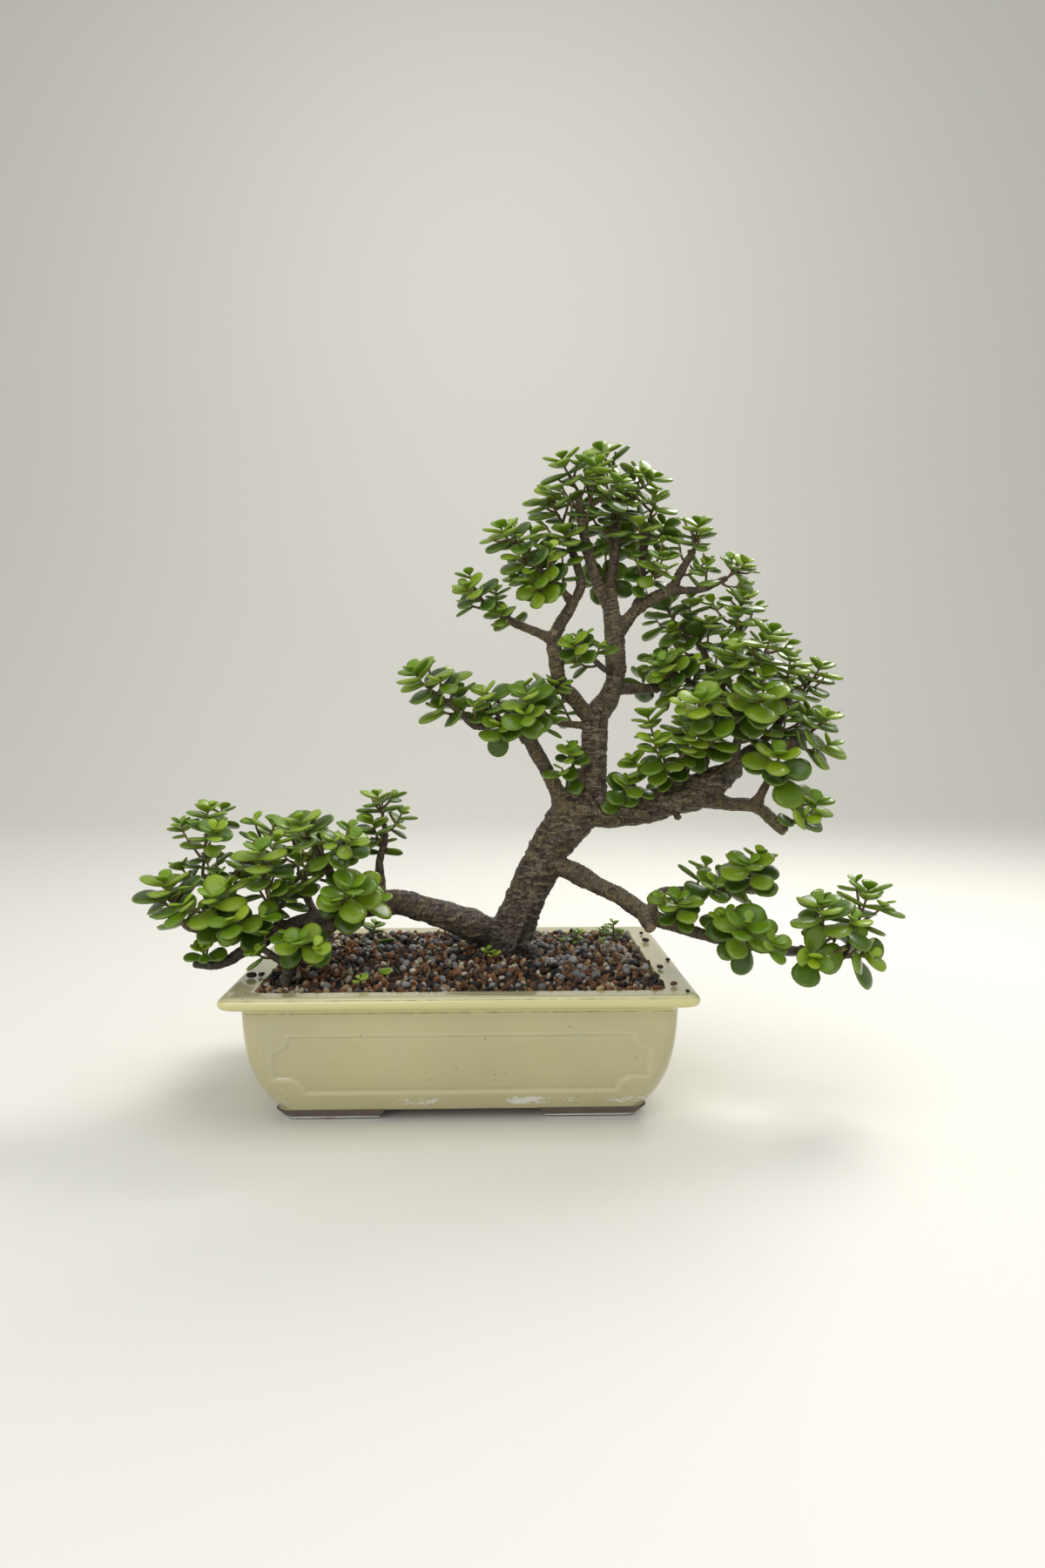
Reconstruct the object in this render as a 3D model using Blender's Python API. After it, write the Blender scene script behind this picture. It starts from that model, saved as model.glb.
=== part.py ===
"""A small succulent bonsai, a dwarf jade tree, growing in a glazed rectangular pot.

Units are metres, +Z is up and +X runs along the pot's long side. The pot is
modelled round the Z axis with its feet at Z = 0, and the whole plant is then
moved so that its origin is the middle of the bottom of its bounding box.
"""

import math
import random

import bmesh
import bpy
from mathutils import Matrix, Vector
from mathutils.bvhtree import BVHTree

MM = 0.001

# Pot
RIM_WIDTH = 0.240
RIM_DEPTH = 0.182
POT_HEIGHT = 0.071
LIP_HEIGHT = 0.0095
LIP_OUT = 0.0092
RIM_FLAT = 0.015
BODY_TAPER = 0.0035
FOOT_TUCK = 0.0163
WALL = 0.0065
FLOOR = 0.007
FOOT_HEIGHT = 0.006
FOOT_WALL = 0.013
FOOT_ARCH_FRONT = 0.080
FOOT_ARCH_SIDE = 0.048
OUTER_CORNER = 0.004
INNER_CORNER = 0.008
PANEL_DEPTH = 0.0009
PANEL_SIDE_MARGIN = 0.0155
PANEL_BOTTOM = 0.0175
PANEL_TOP_BELOW_LIP = 0.0125
PANEL_NOTCH = 0.0085
PANEL_SHOULDER = 0.0072

# Drain holes, their screens and the wire clips that hold the screens
DRAIN_DIAMETER = 0.020
DRAIN_FROM_RIM_END = 0.065
SCREEN_SIZE = 0.034
SCREEN_THICKNESS = 0.0012
SCREEN_HOLE = 0.0046
SCREEN_PITCH = 0.0066
WIRE_DIAMETER = 0.0013
CLIP_FOOT = 0.009

# Soil
SOIL_BELOW_RIM = 0.0015
SOIL_MOUND = 0.005

# Tree
TREE_HEIGHT = 0.292
TREE_REACH = 0.223
TRUNK_RADIUS = 0.0127
STUMP_DEPTH = 0.028
ROOT_LENGTH = 0.046
LEAF_LENGTH = 0.015
LEAF_WIDTH = 0.0115
LEAF_THICKNESS = 0.0032
STEM_WIDTH = 0.0021

# Clearance between pieces that touch
GAP = 0.0003

# How far a shoot's last leaves reach past the end of its stem
LEAF_OVERHANG = 0.004

# The heights and reaches that the branch routes below are drawn for
DRAWN_HEIGHT = 0.283
DRAWN_REACH = 0.223
DRAWN_TRUNK_RADIUS = 0.0127

FLOOR_TOP = FOOT_HEIGHT + FLOOR
LIP_BOTTOM = POT_HEIGHT - LIP_HEIGHT
SOIL_LEVEL = POT_HEIGHT - SOIL_BELOW_RIM
DRAIN_X = RIM_WIDTH / 2 - DRAIN_FROM_RIM_END


# ---------------------------------------------------------------- helpers


def clear_scene():
    for obj in list(bpy.data.objects):
        bpy.data.objects.remove(obj)


def material(name, colour, roughness, metallic=0.0):
    made = bpy.data.materials.new(name)
    made.use_nodes = True
    shader = made.node_tree.nodes["Principled BSDF"]
    shader.inputs["Base Color"].default_value = (*colour, 1.0)
    shader.inputs["Roughness"].default_value = roughness
    shader.inputs["Metallic"].default_value = metallic
    made.diffuse_color = (*colour, 1.0)
    return made


def add_object(name, bm, made_of=None):
    """The closed mesh in bm as an object of its own, faces outward."""
    bmesh.ops.recalc_face_normals(bm, faces=bm.faces)
    mesh = bpy.data.meshes.new(name)
    bm.to_mesh(mesh)
    bm.free()
    obj = bpy.data.objects.new(name, mesh)
    bpy.context.scene.collection.objects.link(obj)
    if made_of:
        mesh.materials.append(made_of)
    return obj


def combine(target, other, operation):
    """Joins other to target, or cuts it away, and removes other."""
    modifier = target.modifiers.new(operation.title(), "BOOLEAN")
    modifier.operation = operation
    modifier.solver = "EXACT"
    modifier.object = other
    bpy.context.view_layer.update()
    graph = bpy.context.evaluated_depsgraph_get()
    mesh = bpy.data.meshes.new_from_object(target.evaluated_get(graph))
    old = target.data
    target.modifiers.remove(modifier)
    target.data = mesh
    mesh.name = target.name
    bpy.data.meshes.remove(old)
    used = other.data
    bpy.data.objects.remove(other)
    bpy.data.meshes.remove(used)


def loft(bm, loops):
    """Bridges each loop of points to the next and caps the first and last."""
    rings = [[bm.verts.new(point) for point in loop] for loop in loops]
    for low, high in zip(rings, rings[1:]):
        for i in range(len(low)):
            j = (i + 1) % len(low)
            bm.faces.new((low[i], low[j], high[j], high[i]))
    bm.faces.new(rings[0])
    bm.faces.new(rings[-1])


def outline(half_x, half_y, radius, z, corner_steps=3, side_steps=1):
    """A rounded rectangle of points at height z, counter-clockwise."""
    corners = [(1, -1, -90), (1, 1, 0), (-1, 1, 90), (-1, -1, 180)]
    points = []
    for sx, sy, start in corners:
        centre = Vector((sx * (half_x - radius), sy * (half_y - radius), z))
        for step in range(corner_steps + 1):
            angle = math.radians(start + 90 * step / corner_steps)
            points.append(centre + radius * Vector((math.cos(angle), math.sin(angle), 0)))
    if side_steps > 1:
        divided = []
        for i, point in enumerate(points):
            divided.append(point)
            if i % (corner_steps + 1) == corner_steps:
                after = points[(i + 1) % len(points)]
                divided += [point.lerp(after, k / side_steps) for k in range(1, side_steps)]
        points = divided
    return points


def box(name, low, high):
    bm = bmesh.new()
    bmesh.ops.create_cube(bm, size=1.0)
    low, high = Vector(low), Vector(high)
    for vert in bm.verts:
        vert.co = Vector([(low[k] + high[k]) / 2 + vert.co[k] * (high[k] - low[k]) for k in range(3)])
    return add_object(name, bm)


def cylinder(name, centre, radius, z_low, z_high, sides=16):
    bm = bmesh.new()
    loops = []
    for z in (z_low, z_high):
        loops.append([
            Vector((centre[0] + radius * math.cos(2 * math.pi * k / sides),
                    centre[1] + radius * math.sin(2 * math.pi * k / sides), z))
            for k in range(sides)
        ])
    loft(bm, loops)
    return add_object(name, bm)


def frames_along(points):
    """A direction and a side vector at each point of a route, with no twist."""
    ways = []
    for i in range(len(points)):
        before = points[max(i - 1, 0)]
        after = points[min(i + 1, len(points) - 1)]
        ways.append((after - before).normalized())
    side = ways[0].orthogonal().normalized()
    frames = [(ways[0], side)]
    for way in ways[1:]:
        turn = frames[-1][0].rotation_difference(way)
        side = turn @ frames[-1][1]
        side = (side - way * side.dot(way)).normalized()
        frames.append((way, side))
    return frames


def tube(bm, points, radii, sides, flat=1.0, turn=0.0):
    """A closed tube along a route, its ends cut square."""
    loops = []
    for point, radius, (way, side) in zip(points, radii, frames_along(points)):
        up = way.cross(side)
        loop = []
        for k in range(sides):
            angle = turn + 2 * math.pi * k / sides
            loop.append(point + radius * (side * math.cos(angle) + up * math.sin(angle) * flat))
        loops.append(loop)
    loft(bm, loops)


# ---------------------------------------------------------------- pot


# Heights of the body's loops, as shares of the height of the body under the lip
BODY_LOOPS = (0.0, 0.10, 0.21, 0.30, 0.44, 0.62, 0.80, 1.0)


def body_inset(z):
    """How far the body's outside lies inside the rim at height z."""
    share = max(0.0, 1.0 - z / LIP_BOTTOM)
    return LIP_OUT + BODY_TAPER * share + FOOT_TUCK * share ** 3.2


def faceted_inset(z):
    """The inset of the flat facets between the body's modelled loops."""
    levels = [LIP_BOTTOM * share for share in BODY_LOOPS]
    for low, high in zip(levels, levels[1:]):
        if z <= high:
            along = (z - low) / (high - low)
            return body_inset(low) + along * (body_inset(high) - body_inset(low))
    return body_inset(levels[-1])


def inner_inset(z):
    """How far the inside wall lies inside the rim at height z."""
    return body_inset(min(z, LIP_BOTTOM)) + WALL


def rim_outline(z, inset, radius):
    return outline(RIM_WIDTH / 2 - inset, RIM_DEPTH / 2 - inset, radius, z)


def panel_cutter(name, half_length, face_distance, turned):
    """A shallow notched field cut into one side of the body.

    half_length is the field's half width and face_distance is how far the
    rim's edge is from the middle of the pot on that side.
    """
    top = LIP_BOTTOM - PANEL_TOP_BELOW_LIP
    rows = []
    for angle in (0, 35, 65, 90):
        rise = math.sin(math.radians(angle))
        rows.append((PANEL_BOTTOM + PANEL_NOTCH * rise,
                     half_length - PANEL_SHOULDER - PANEL_NOTCH * math.sqrt(1 - rise * rise)))
    rows.append((PANEL_BOTTOM + PANEL_NOTCH + 0.0004, half_length))
    for angle in (90, 65, 35, 0):
        drop = math.sin(math.radians(angle))
        rows.append((top - PANEL_NOTCH * drop, half_length - PANEL_NOTCH * math.sqrt(1 - drop * drop)))
    crossed = [LIP_BOTTOM * share for share in BODY_LOOPS if rows[4][0] + 0.001 < LIP_BOTTOM * share < rows[5][0] - 0.001]
    rows[5:5] = [(z, half_length) for z in crossed]
    loops = []
    for z, half in rows:
        inside = face_distance - faceted_inset(z) - PANEL_DEPTH
        outside = face_distance + 0.01
        loops.append([Vector(p) for p in (
            (-half, -outside, z), (half, -outside, z), (half, -inside, z), (-half, -inside, z))])
    bm = bmesh.new()
    loft(bm, loops)
    bmesh.ops.rotate(bm, verts=bm.verts, cent=(0, 0, 0), matrix=Matrix.Rotation(turned, 3, "Z"))
    return add_object(name, bm)


def arch_cutter(name, half_x, half_y, slope):
    """A gap between two feet, wider at the ground than at the floor."""
    low, high = -0.002, FOOT_HEIGHT
    bm = bmesh.new()
    loft(bm, [
        outline(half_x + (slope if half_x < half_y else 0), half_y + (slope if half_y < half_x else 0), 0.0005, low, 1),
        outline(half_x, half_y, 0.0005, high, 1),
    ])
    return add_object(name, bm)


def make_pot():
    lip_rise = LIP_HEIGHT
    loops = []
    for share in BODY_LOOPS:
        z = LIP_BOTTOM * share
        loops.append(rim_outline(z, body_inset(z), OUTER_CORNER))
    for share, inset in ((0.24, 0.0042), (0.45, 0.0005), (0.65, 0.0), (0.88, 0.0009), (1.0, 0.0030)):
        loops.append(rim_outline(LIP_BOTTOM + lip_rise * share, inset, OUTER_CORNER))
    loops.append(rim_outline(POT_HEIGHT, RIM_FLAT, INNER_CORNER))
    for z in (LIP_BOTTOM, POT_HEIGHT * 0.55, FLOOR_TOP + 0.010, FLOOR_TOP):
        inset = inner_inset(z) + (0.004 if z == FLOOR_TOP else 0.0)
        loops.append(rim_outline(z, inset, INNER_CORNER))
    bm = bmesh.new()
    loft(bm, loops)
    pot = add_object("pot", bm, material("cream_glaze", (0.62, 0.58, 0.42), 0.22))

    under = bmesh.new()
    base = body_inset(0.0) + FOOT_WALL
    loft(under, [rim_outline(-0.002, base, INNER_CORNER), rim_outline(FOOT_HEIGHT, base + 0.002, INNER_CORNER)])
    combine(pot, add_object("under", under), "DIFFERENCE")
    combine(pot, arch_cutter("arch_front", FOOT_ARCH_FRONT / 2, RIM_DEPTH, 0.004), "DIFFERENCE")
    combine(pot, arch_cutter("arch_side", RIM_WIDTH, FOOT_ARCH_SIDE / 2, 0.004), "DIFFERENCE")
    for x in (-DRAIN_X, DRAIN_X):
        combine(pot, cylinder("drain", (x, 0.0), DRAIN_DIAMETER / 2, FOOT_HEIGHT - 0.004, FLOOR_TOP + 0.004), "DIFFERENCE")
    long_half = RIM_WIDTH / 2 - LIP_OUT - PANEL_SIDE_MARGIN
    short_half = RIM_DEPTH / 2 - LIP_OUT - PANEL_SIDE_MARGIN
    for turned, half, distance in (
        (0.0, long_half, RIM_DEPTH / 2), (math.pi, long_half, RIM_DEPTH / 2),
        (math.pi / 2, short_half, RIM_WIDTH / 2), (-math.pi / 2, short_half, RIM_WIDTH / 2),
    ):
        combine(pot, panel_cutter("panel", half, distance, turned), "DIFFERENCE")
    return pot


# ---------------------------------------------------------------- drain screens and clips


def make_screen(name, x):
    """A square of plastic mesh that lies over a drain hole."""
    half = SCREEN_SIZE / 2
    low = FLOOR_TOP + GAP
    bm = bmesh.new()
    loft(bm, [outline(half, half, 0.002, low, 2), outline(half, half, 0.002, low + SCREEN_THICKNESS, 2)])
    bmesh.ops.translate(bm, verts=bm.verts, vec=(x, 0, 0))
    screen = add_object(name, bm, material(name, (0.03, 0.03, 0.03), 0.6))
    count = int((SCREEN_SIZE - 0.004) / SCREEN_PITCH)
    for i in range(count):
        for j in range(count):
            cx = x + (i - (count - 1) / 2) * SCREEN_PITCH
            cy = (j - (count - 1) / 2) * SCREEN_PITCH
            hole = SCREEN_HOLE / 2
            combine(screen, box("hole", (cx - hole, cy - hole, low - 0.002),
                                (cx + hole, cy + hole, low + SCREEN_THICKNESS + 0.002)), "DIFFERENCE")
    return screen


def clip_leg_reach():
    """The screen opening, nearest the drain hole's edge, that a wire leg passes through."""
    count = int((SCREEN_SIZE - 0.004) / SCREEN_PITCH)
    first = 0.0 if count % 2 else 0.5
    room = DRAIN_DIAMETER / 2 - WIRE_DIAMETER - 2 * GAP
    steps = int((room / SCREEN_PITCH) - first)
    return (first + max(steps, 0)) * SCREEN_PITCH


def make_clip(name, x):
    """A bent wire over the screen, through the drain hole and out below the floor."""
    reach = clip_leg_reach()
    radius = WIRE_DIAMETER / 2
    count = int((SCREEN_SIZE - 0.004) / SCREEN_PITCH)
    y = 0.0 if count % 2 else SCREEN_PITCH / 2
    top = FLOOR_TOP + GAP + SCREEN_THICKNESS + GAP + radius
    low = FOOT_HEIGHT - GAP - radius
    outer = DRAIN_DIAMETER / 2 + CLIP_FOOT
    route = [
        (-outer, low), (-reach - 0.0012, low), (-reach, low + 0.0012), (-reach, top - 0.0010),
        (-reach + 0.0010, top), (reach - 0.0010, top), (reach, top - 0.0010),
        (reach, low + 0.0012), (reach + 0.0012, low), (outer, low),
    ]
    bm = bmesh.new()
    tube(bm, [Vector((x + across, y, z)) for across, z in route], [radius] * len(route), 6)
    return add_object(name, bm, material(name, (0.35, 0.22, 0.14), 0.4, 1.0))


# ---------------------------------------------------------------- soil


def soil_height(x, y):
    """The soil's surface: level at the pot's wall, mounded towards the trunk and lightly rippled."""
    half_x = RIM_WIDTH / 2 - RIM_FLAT
    half_y = RIM_DEPTH / 2 - RIM_FLAT
    edge = min(1.0, 3.0 * (1 - abs(x) / half_x), 3.0 * (1 - abs(y) / half_y))
    edge = max(edge, 0.0)
    mound = math.exp(-(((x - 0.010) / 0.070) ** 2) - ((y - 0.015) / 0.055) ** 2)
    back = 0.4 * math.exp(-(((x + 0.050) / 0.045) ** 2) - ((y - 0.035) / 0.035) ** 2)
    ripple = 0.0006 * math.sin(x * 95 + 1.0) * math.cos(y * 120)
    return SOIL_LEVEL + edge * (SOIL_MOUND * min(1.0, mound + back) + ripple)


def make_soil():
    loops = []
    for z in (FLOOR_TOP + GAP, FLOOR_TOP + 0.010, POT_HEIGHT * 0.55, LIP_BOTTOM):
        inset = inner_inset(z) + 2.5 * GAP + (0.004 if z == FLOOR_TOP + GAP else 0.0)
        loops.append(outline(RIM_WIDTH / 2 - inset, RIM_DEPTH / 2 - inset, INNER_CORNER, z, 3, 6))
    inset = RIM_FLAT + 4 * GAP + WALL - LIP_OUT * 0.5
    inset = max(inset, RIM_FLAT + 2.5 * GAP)
    for share in (1.0, 0.86, 0.70, 0.52, 0.34, 0.16):
        loop = outline(RIM_WIDTH / 2 - inset, RIM_DEPTH / 2 - inset, INNER_CORNER, 0.0, 3, 6)
        loops.append([Vector((p.x * share, p.y * share, soil_height(p.x * share, p.y * share))) for p in loop])
    bm = bmesh.new()
    loft(bm, loops)
    return add_object("soil", bm, material("akadama_and_pumice_mix", (0.16, 0.11, 0.08), 0.9))


# ---------------------------------------------------------------- wood

# Each limb is a route of (x, y, height above the soil, radius) in millimetres,
# drawn for a tree DRAWN_HEIGHT tall and DRAWN_REACH from its middle to its farthest twig.
# A limb starts inside the limb that bears it.
LIMBS = {
    "trunk": (12, [(24, 0, -28, 10.5), (25, 0, -10, 14.6), (25, 0, 0, 13.4), (25, 0, 11, 12.9), (32, 1, 28, 11.8),
                   (40, 2, 46, 11.4), (49, 4, 64, 11.7), (58, 5, 76, 12.6), (66, 6, 88, 13.2), (66, 6, 96, 9.6)]),
    "top_stub": (7, [(66, 6, 90, 10.0), (65, 4, 101, 7.1), (64, 2, 109, 5.2)]),
    "heavy": (9, [(64, 6, 86, 11.6), (76, 5, 87, 11.2), (88, 4, 86, 9.6), (114, 0, 91, 9.9), (135, -4, 99, 9.9),
                  (151, -6, 108, 6.5), (158, -6, 110, 4.2)]),
    "heavy_out": (6, [(147, -6, 106, 5.4), (160, -10, 118, 4.5), (171, -16, 122, 3.4), (184, -22, 126, 2.9), (192, -26, 131, 2.2)]),
    "heavy_drop": (6, [(135, -1, 95, 6.1), (151, -8, 91, 4.0), (165, -14, 90, 3.7), (175, -20, 81, 3.4), (180, -22, 76, 2.9)]),
    "heavy_drop_up": (5, [(165, -14, 90, 3.0), (170, -20, 103, 2.2), (173, -24, 110, 1.7)]),
    "leader": (8, [(75, 4, 90, 8.4), (75, 4, 109, 7.3), (75, 5, 129, 7.1), (77, 6, 142, 7.1), (84, 8, 151, 6.2),
                   (88, 9, 165, 5.6), (88, 10, 180, 6.0), (87, 10, 193, 5.6), (85, 10, 207, 5.1), (84, 10, 211, 4.2)]),
    "leader_cut": (5, [(84, 10, 205, 4.1), (76, 6, 221, 3.3), (70, 2, 239, 3.0), (67, -2, 252, 2.7), (65, -4, 267, 2.2)]),
    "leader_back": (5, [(85, 10, 206, 4.1), (86, 14, 219, 3.1), (88, 16, 237, 2.8), (88, 18, 257, 2.6), (91, 20, 269, 2.3), (90, 22, 283, 1.8)]),
    "leader_right": (6, [(88, 10, 187, 4.1), (99, 6, 202, 3.8), (108, 2, 208, 3.5), (119, -2, 214, 3.4), (122, -4, 220, 2.7), (130, -6, 234, 2.0)]),
    "leader_right_out": (5, [(118, -2, 213, 2.5), (126, -7, 212, 2.1), (134, -12, 212, 2.0), (146, -20, 217, 1.6)]),
    "leader_right_up": (5, [(101, 6, 203, 3.0), (103, 8, 212, 2.7), (103, 10, 227, 2.5), (105, 12, 240, 2.3), (107, 14, 252, 1.9)]),
    "leader_side": (5, [(86, 9, 167, 2.2), (80, -2, 168, 1.7), (73, -8, 173, 1.5), (68, -14, 176, 1.2)]),
    "arm": (7, [(77, 6, 140, 5.4), (72, 4, 141, 5.0), (64, 0, 150, 4.5), (55, -4, 160, 4.2), (52, -6, 175, 4.2), (50, -8, 187, 4.2)]),
    "arm_up": (6, [(50, -8, 184, 3.9), (56, -6, 195, 3.4), (63, -2, 206, 3.1), (67, 2, 217, 2.9), (64, 4, 230, 2.5), (58, 6, 249, 2.0)]),
    "arm_up_left": (5, [(62, -3, 205, 2.0), (52, -10, 215, 1.9), (44, -14, 220, 1.7), (33, -20, 230, 1.3)]),
    "arm_left": (5, [(51, -8, 184, 2.7), (38, -12, 189, 2.4), (25, -18, 194, 2.2), (13, -26, 202, 1.6)]),
    "left_arm": (7, [(56, 2, 80, 6.0), (54, -3, 96, 4.8), (47, -6, 110, 4.3), (39, -10, 124, 4.2), (35, -12, 133, 3.6)]),
    "left_arm_out": (5, [(36, -12, 128, 2.9), (29, -15, 136, 2.5), (21, -18, 137, 2.3), (8, -23, 135, 2.0), (-2, -28, 143, 1.7), (-9, -32, 149, 1.4)]),
    "left_arm_back": (5, [(74, 5, 135, 2.4), (56, 2, 137, 1.8), (49, 0, 140, 1.5), (42, -4, 144, 1.4)]),
    "left_arm_stub": (5, [(37, -11, 127, 2.5), (40, -16, 133, 1.9), (42, -20, 138, 1.5)]),
    "low_right": (7, [(42, 2, 54, 6.8), (57, -2, 54, 6.0), (73, -8, 46, 5.2), (88, -14, 39, 4.9), (101, -18, 30, 4.7), (114, -22, 25, 4.2),
                      (127, -26, 21, 3.6), (143, -30, 17, 3.4), (158, -34, 15, 3.5), (175, -40, 13, 3.1), (187, -44, 13, 2.7)]),
    "low_right_upper": (5, [(105, -19, 29, 2.9), (108, -14, 36, 2.6), (113, -12, 41, 2.4), (126, -14, 42, 2.2), (140, -20, 42, 2.2), (154, -26, 45, 2.0), (161, -30, 46, 1.6)]),
    "low_right_tip": (5, [(183, -43, 13, 2.4), (195, -46, 11, 2.0), (205, -46, 10, 1.7), (213, -41, 21, 1.3)]),
    "low_right_stub": (6, [(99, -17, 31, 4.0), (102, -25, 27, 3.8), (104, -30, 23, 3.4)]),
    "low_left": (9, [(22, 0, 14, 9.4), (8, -2, 19, 8.9), (-7, -6, 25, 8.0), (-21, -10, 31, 7.4), (-37, -14, 36, 6.9), (-49, -17, 35, 5.9),
                     (-62, -20, 32, 5.1), (-77, -22, 30, 4.7), (-90, -24, 27, 4.4), (-103, -26, 23, 3.7)]),
    "low_left_far": (5, [(-99, -25, 24, 3.3), (-119, -30, 23, 2.5), (-133, -34, 24, 2.4), (-147, -38, 27, 2.1), (-152, -41, 35, 1.7)]),
    "low_left_stub": (6, [(-99, -25, 24, 3.4), (-112, -30, 16, 3.6), (-121, -32, 12, 3.6), (-127, -34, 8, 3.2), (-136, -36, 6, 2.6), (-145, -38, 7, 1.9)]),
    "twig_a": (5, [(-82, -22, 28, 2.8), (-87, -18, 39, 2.2), (-89, -14, 48, 2.0), (-93, -12, 53, 1.6)]),
    "twig_b": (5, [(-66, -21, 31, 2.9), (-70, -26, 45, 2.2), (-75, -30, 58, 1.9), (-80, -34, 69, 1.6)]),
    "twig_c": (5, [(-47, -16, 34, 3.4), (-47, -12, 47, 2.7), (-48, -10, 58, 2.5), (-45, -8, 70, 2.0), (-45, -8, 80, 1.5)]),
    "twig_d": (5, [(-100, -26, 24, 2.6), (-103, -33, 35, 1.9), (-104, -38, 43, 1.6), (-105, -40, 49, 1.4)]),
    "twig_e": (5, [(-115, -29, 23, 2.2), (-126, -22, 33, 1.9), (-134, -16, 43, 1.8), (-130, -10, 51, 1.7), (-122, -6, 58, 1.4)]),
    "twig_f": (5, [(-133, -17, 42, 1.7), (-141, -17, 47, 1.5), (-145, -18, 53, 1.2)]),
    "twig_g": (5, [(-72, -29, 52, 1.8), (-72, -34, 60, 1.5), (-69, -38, 66, 1.3)]),
    "top_a": (6, [(123, 0, 103, 4.6), (128, -6, 116, 4.2), (135, -14, 126, 3.9), (141, -20, 135, 3.1)]),
    "top_b": (5, [(152, -6, 107, 3.9), (153, -12, 118, 3.0), (155, -22, 136, 2.4), (157, -28, 151, 1.9), (159, -32, 164, 1.6)]),
    "top_c": (5, [(161, -10, 119, 2.9), (174, -4, 129, 2.5), (183, 0, 139, 2.4), (187, 3, 150, 2.2), (197, 6, 155, 1.8)]),
    "top_d": (6, [(135, -3, 101, 3.9), (142, 6, 121, 2.8), (147, 12, 148, 2.6), (146, 16, 171, 2.2)]),
    "top_e": (5, [(146, 12, 146, 2.3), (138, 8, 157, 1.8), (126, 4, 163, 1.5)]),
    "top_f": (5, [(86, 8, 157, 3.8), (101, 14, 157, 3.5), (113, 18, 158, 3.3), (125, 22, 163, 2.6)]),
    "top_g": (5, [(146, 15, 168, 2.1), (140, 18, 182, 1.8), (134, 20, 189, 1.7), (125, 24, 197, 1.3)]),
    "top_h": (5, [(148, 12, 154, 2.1), (158, 10, 171, 1.8), (160, 8, 186, 1.6), (158, 6, 199, 1.3)]),
}

# The branch that leaves the left limb and dips to the soil near the pot's front left corner.
DROPPING_START = [(-68, -24, 30, 3.6), (-72, -30, 26, 3.6)]
DROPPING_END_FROM_WALL = (11, 16)
DROPPING_RADII = (3.5, 3.2, 3.0)
DROPPING_DEPTH = 9

ROOT_ANGLES = (20, 95, 160, 232, 305)


def tree_point(x, y, height):
    """A point of the tree drawn in millimetres, at the tree's real size."""
    across = TREE_REACH / DRAWN_REACH
    tall = (TREE_HEIGHT - (0.292 - DRAWN_HEIGHT)) / DRAWN_HEIGHT
    return Vector((x * MM * across, y * MM * across, SOIL_LEVEL + height * MM * (tall if height > 0 else 1.0)))


def limb_radius(radius):
    return radius * MM * TRUNK_RADIUS / DRAWN_TRUNK_RADIUS


def dropping_route():
    """The dipping branch, which ends in the soil a set distance inside the pot's wall."""
    points = [tree_point(*row[:3]) for row in DROPPING_START]
    radii = [limb_radius(row[3]) for row in DROPPING_START]
    corner = Vector((
        -(RIM_WIDTH / 2 - RIM_FLAT - DROPPING_END_FROM_WALL[0] * MM),
        -(RIM_DEPTH / 2 - RIM_FLAT - DROPPING_END_FROM_WALL[1] * MM),
        SOIL_LEVEL + 2 * MM,
    ))
    start = points[-1]
    points.append(start.lerp(corner, 0.40) + Vector((0, 0, 3 * MM)))
    points.append(start.lerp(corner, 0.80) + Vector((0, 0, 2 * MM)))
    points.append(corner + Vector((0, 0, -DROPPING_DEPTH * MM)))
    radii += [limb_radius(r) for r in DROPPING_RADII]
    return points, radii


def root_route(angle):
    """A root that runs out from the stump under the soil."""
    way = Vector((math.cos(math.radians(angle)), math.sin(math.radians(angle)), 0))
    foot = tree_point(25, 0, -9)
    points = [foot + way * 0.004,
              foot + way * (ROOT_LENGTH * 0.45) + Vector((0, 0, -0.004)),
              foot + way * ROOT_LENGTH + Vector((0, 0, -0.012))]
    return points, [limb_radius(r) for r in (8.0, 4.2, 2.2)]


def buried_parts():
    """Routes, radii and sides of what stands in the soil."""
    sides, rows = LIMBS["trunk"]
    points = [tree_point(*row[:3]) for row in rows[:5]]
    points[0].z = SOIL_LEVEL - STUMP_DEPTH
    yield points, [limb_radius(row[3]) for row in rows[:5]], sides
    for angle in ROOT_ANGLES:
        points, radii = root_route(angle)
        yield points, radii, 7
    points, radii = dropping_route()
    yield points, radii, 6


def screen_room(x):
    """The room in the soil for a screen and the top of its clip."""
    half = SCREEN_SIZE / 2 + 0.002
    top = FLOOR_TOP + SCREEN_THICKNESS + WIRE_DIAMETER + 4 * GAP + 0.0005
    return box("screen_room", (x - half, -half, FLOOR_TOP - 0.002), (x + half, half, top))


def wood_room():
    """The room in the soil for the buried wood, a little larger all round."""
    grown = 1.6 * GAP
    room = None
    for number, (points, radii, sides) in enumerate(buried_parts()):
        first = points[0] + (points[0] - points[1]).normalized() * grown
        last = points[-1] + (points[-1] - points[-2]).normalized() * grown
        bm = bmesh.new()
        turn = 0.3 + 0.17 * len("trunk") if number == 0 else 0.2
        tube(bm, [first, *points[1:-1], last], [radius + grown for radius in radii], sides, turn=turn)
        limb = add_object("wood_room", bm)
        if room is None:
            room = limb
        else:
            combine(room, limb, "UNION")
    return room


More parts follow.
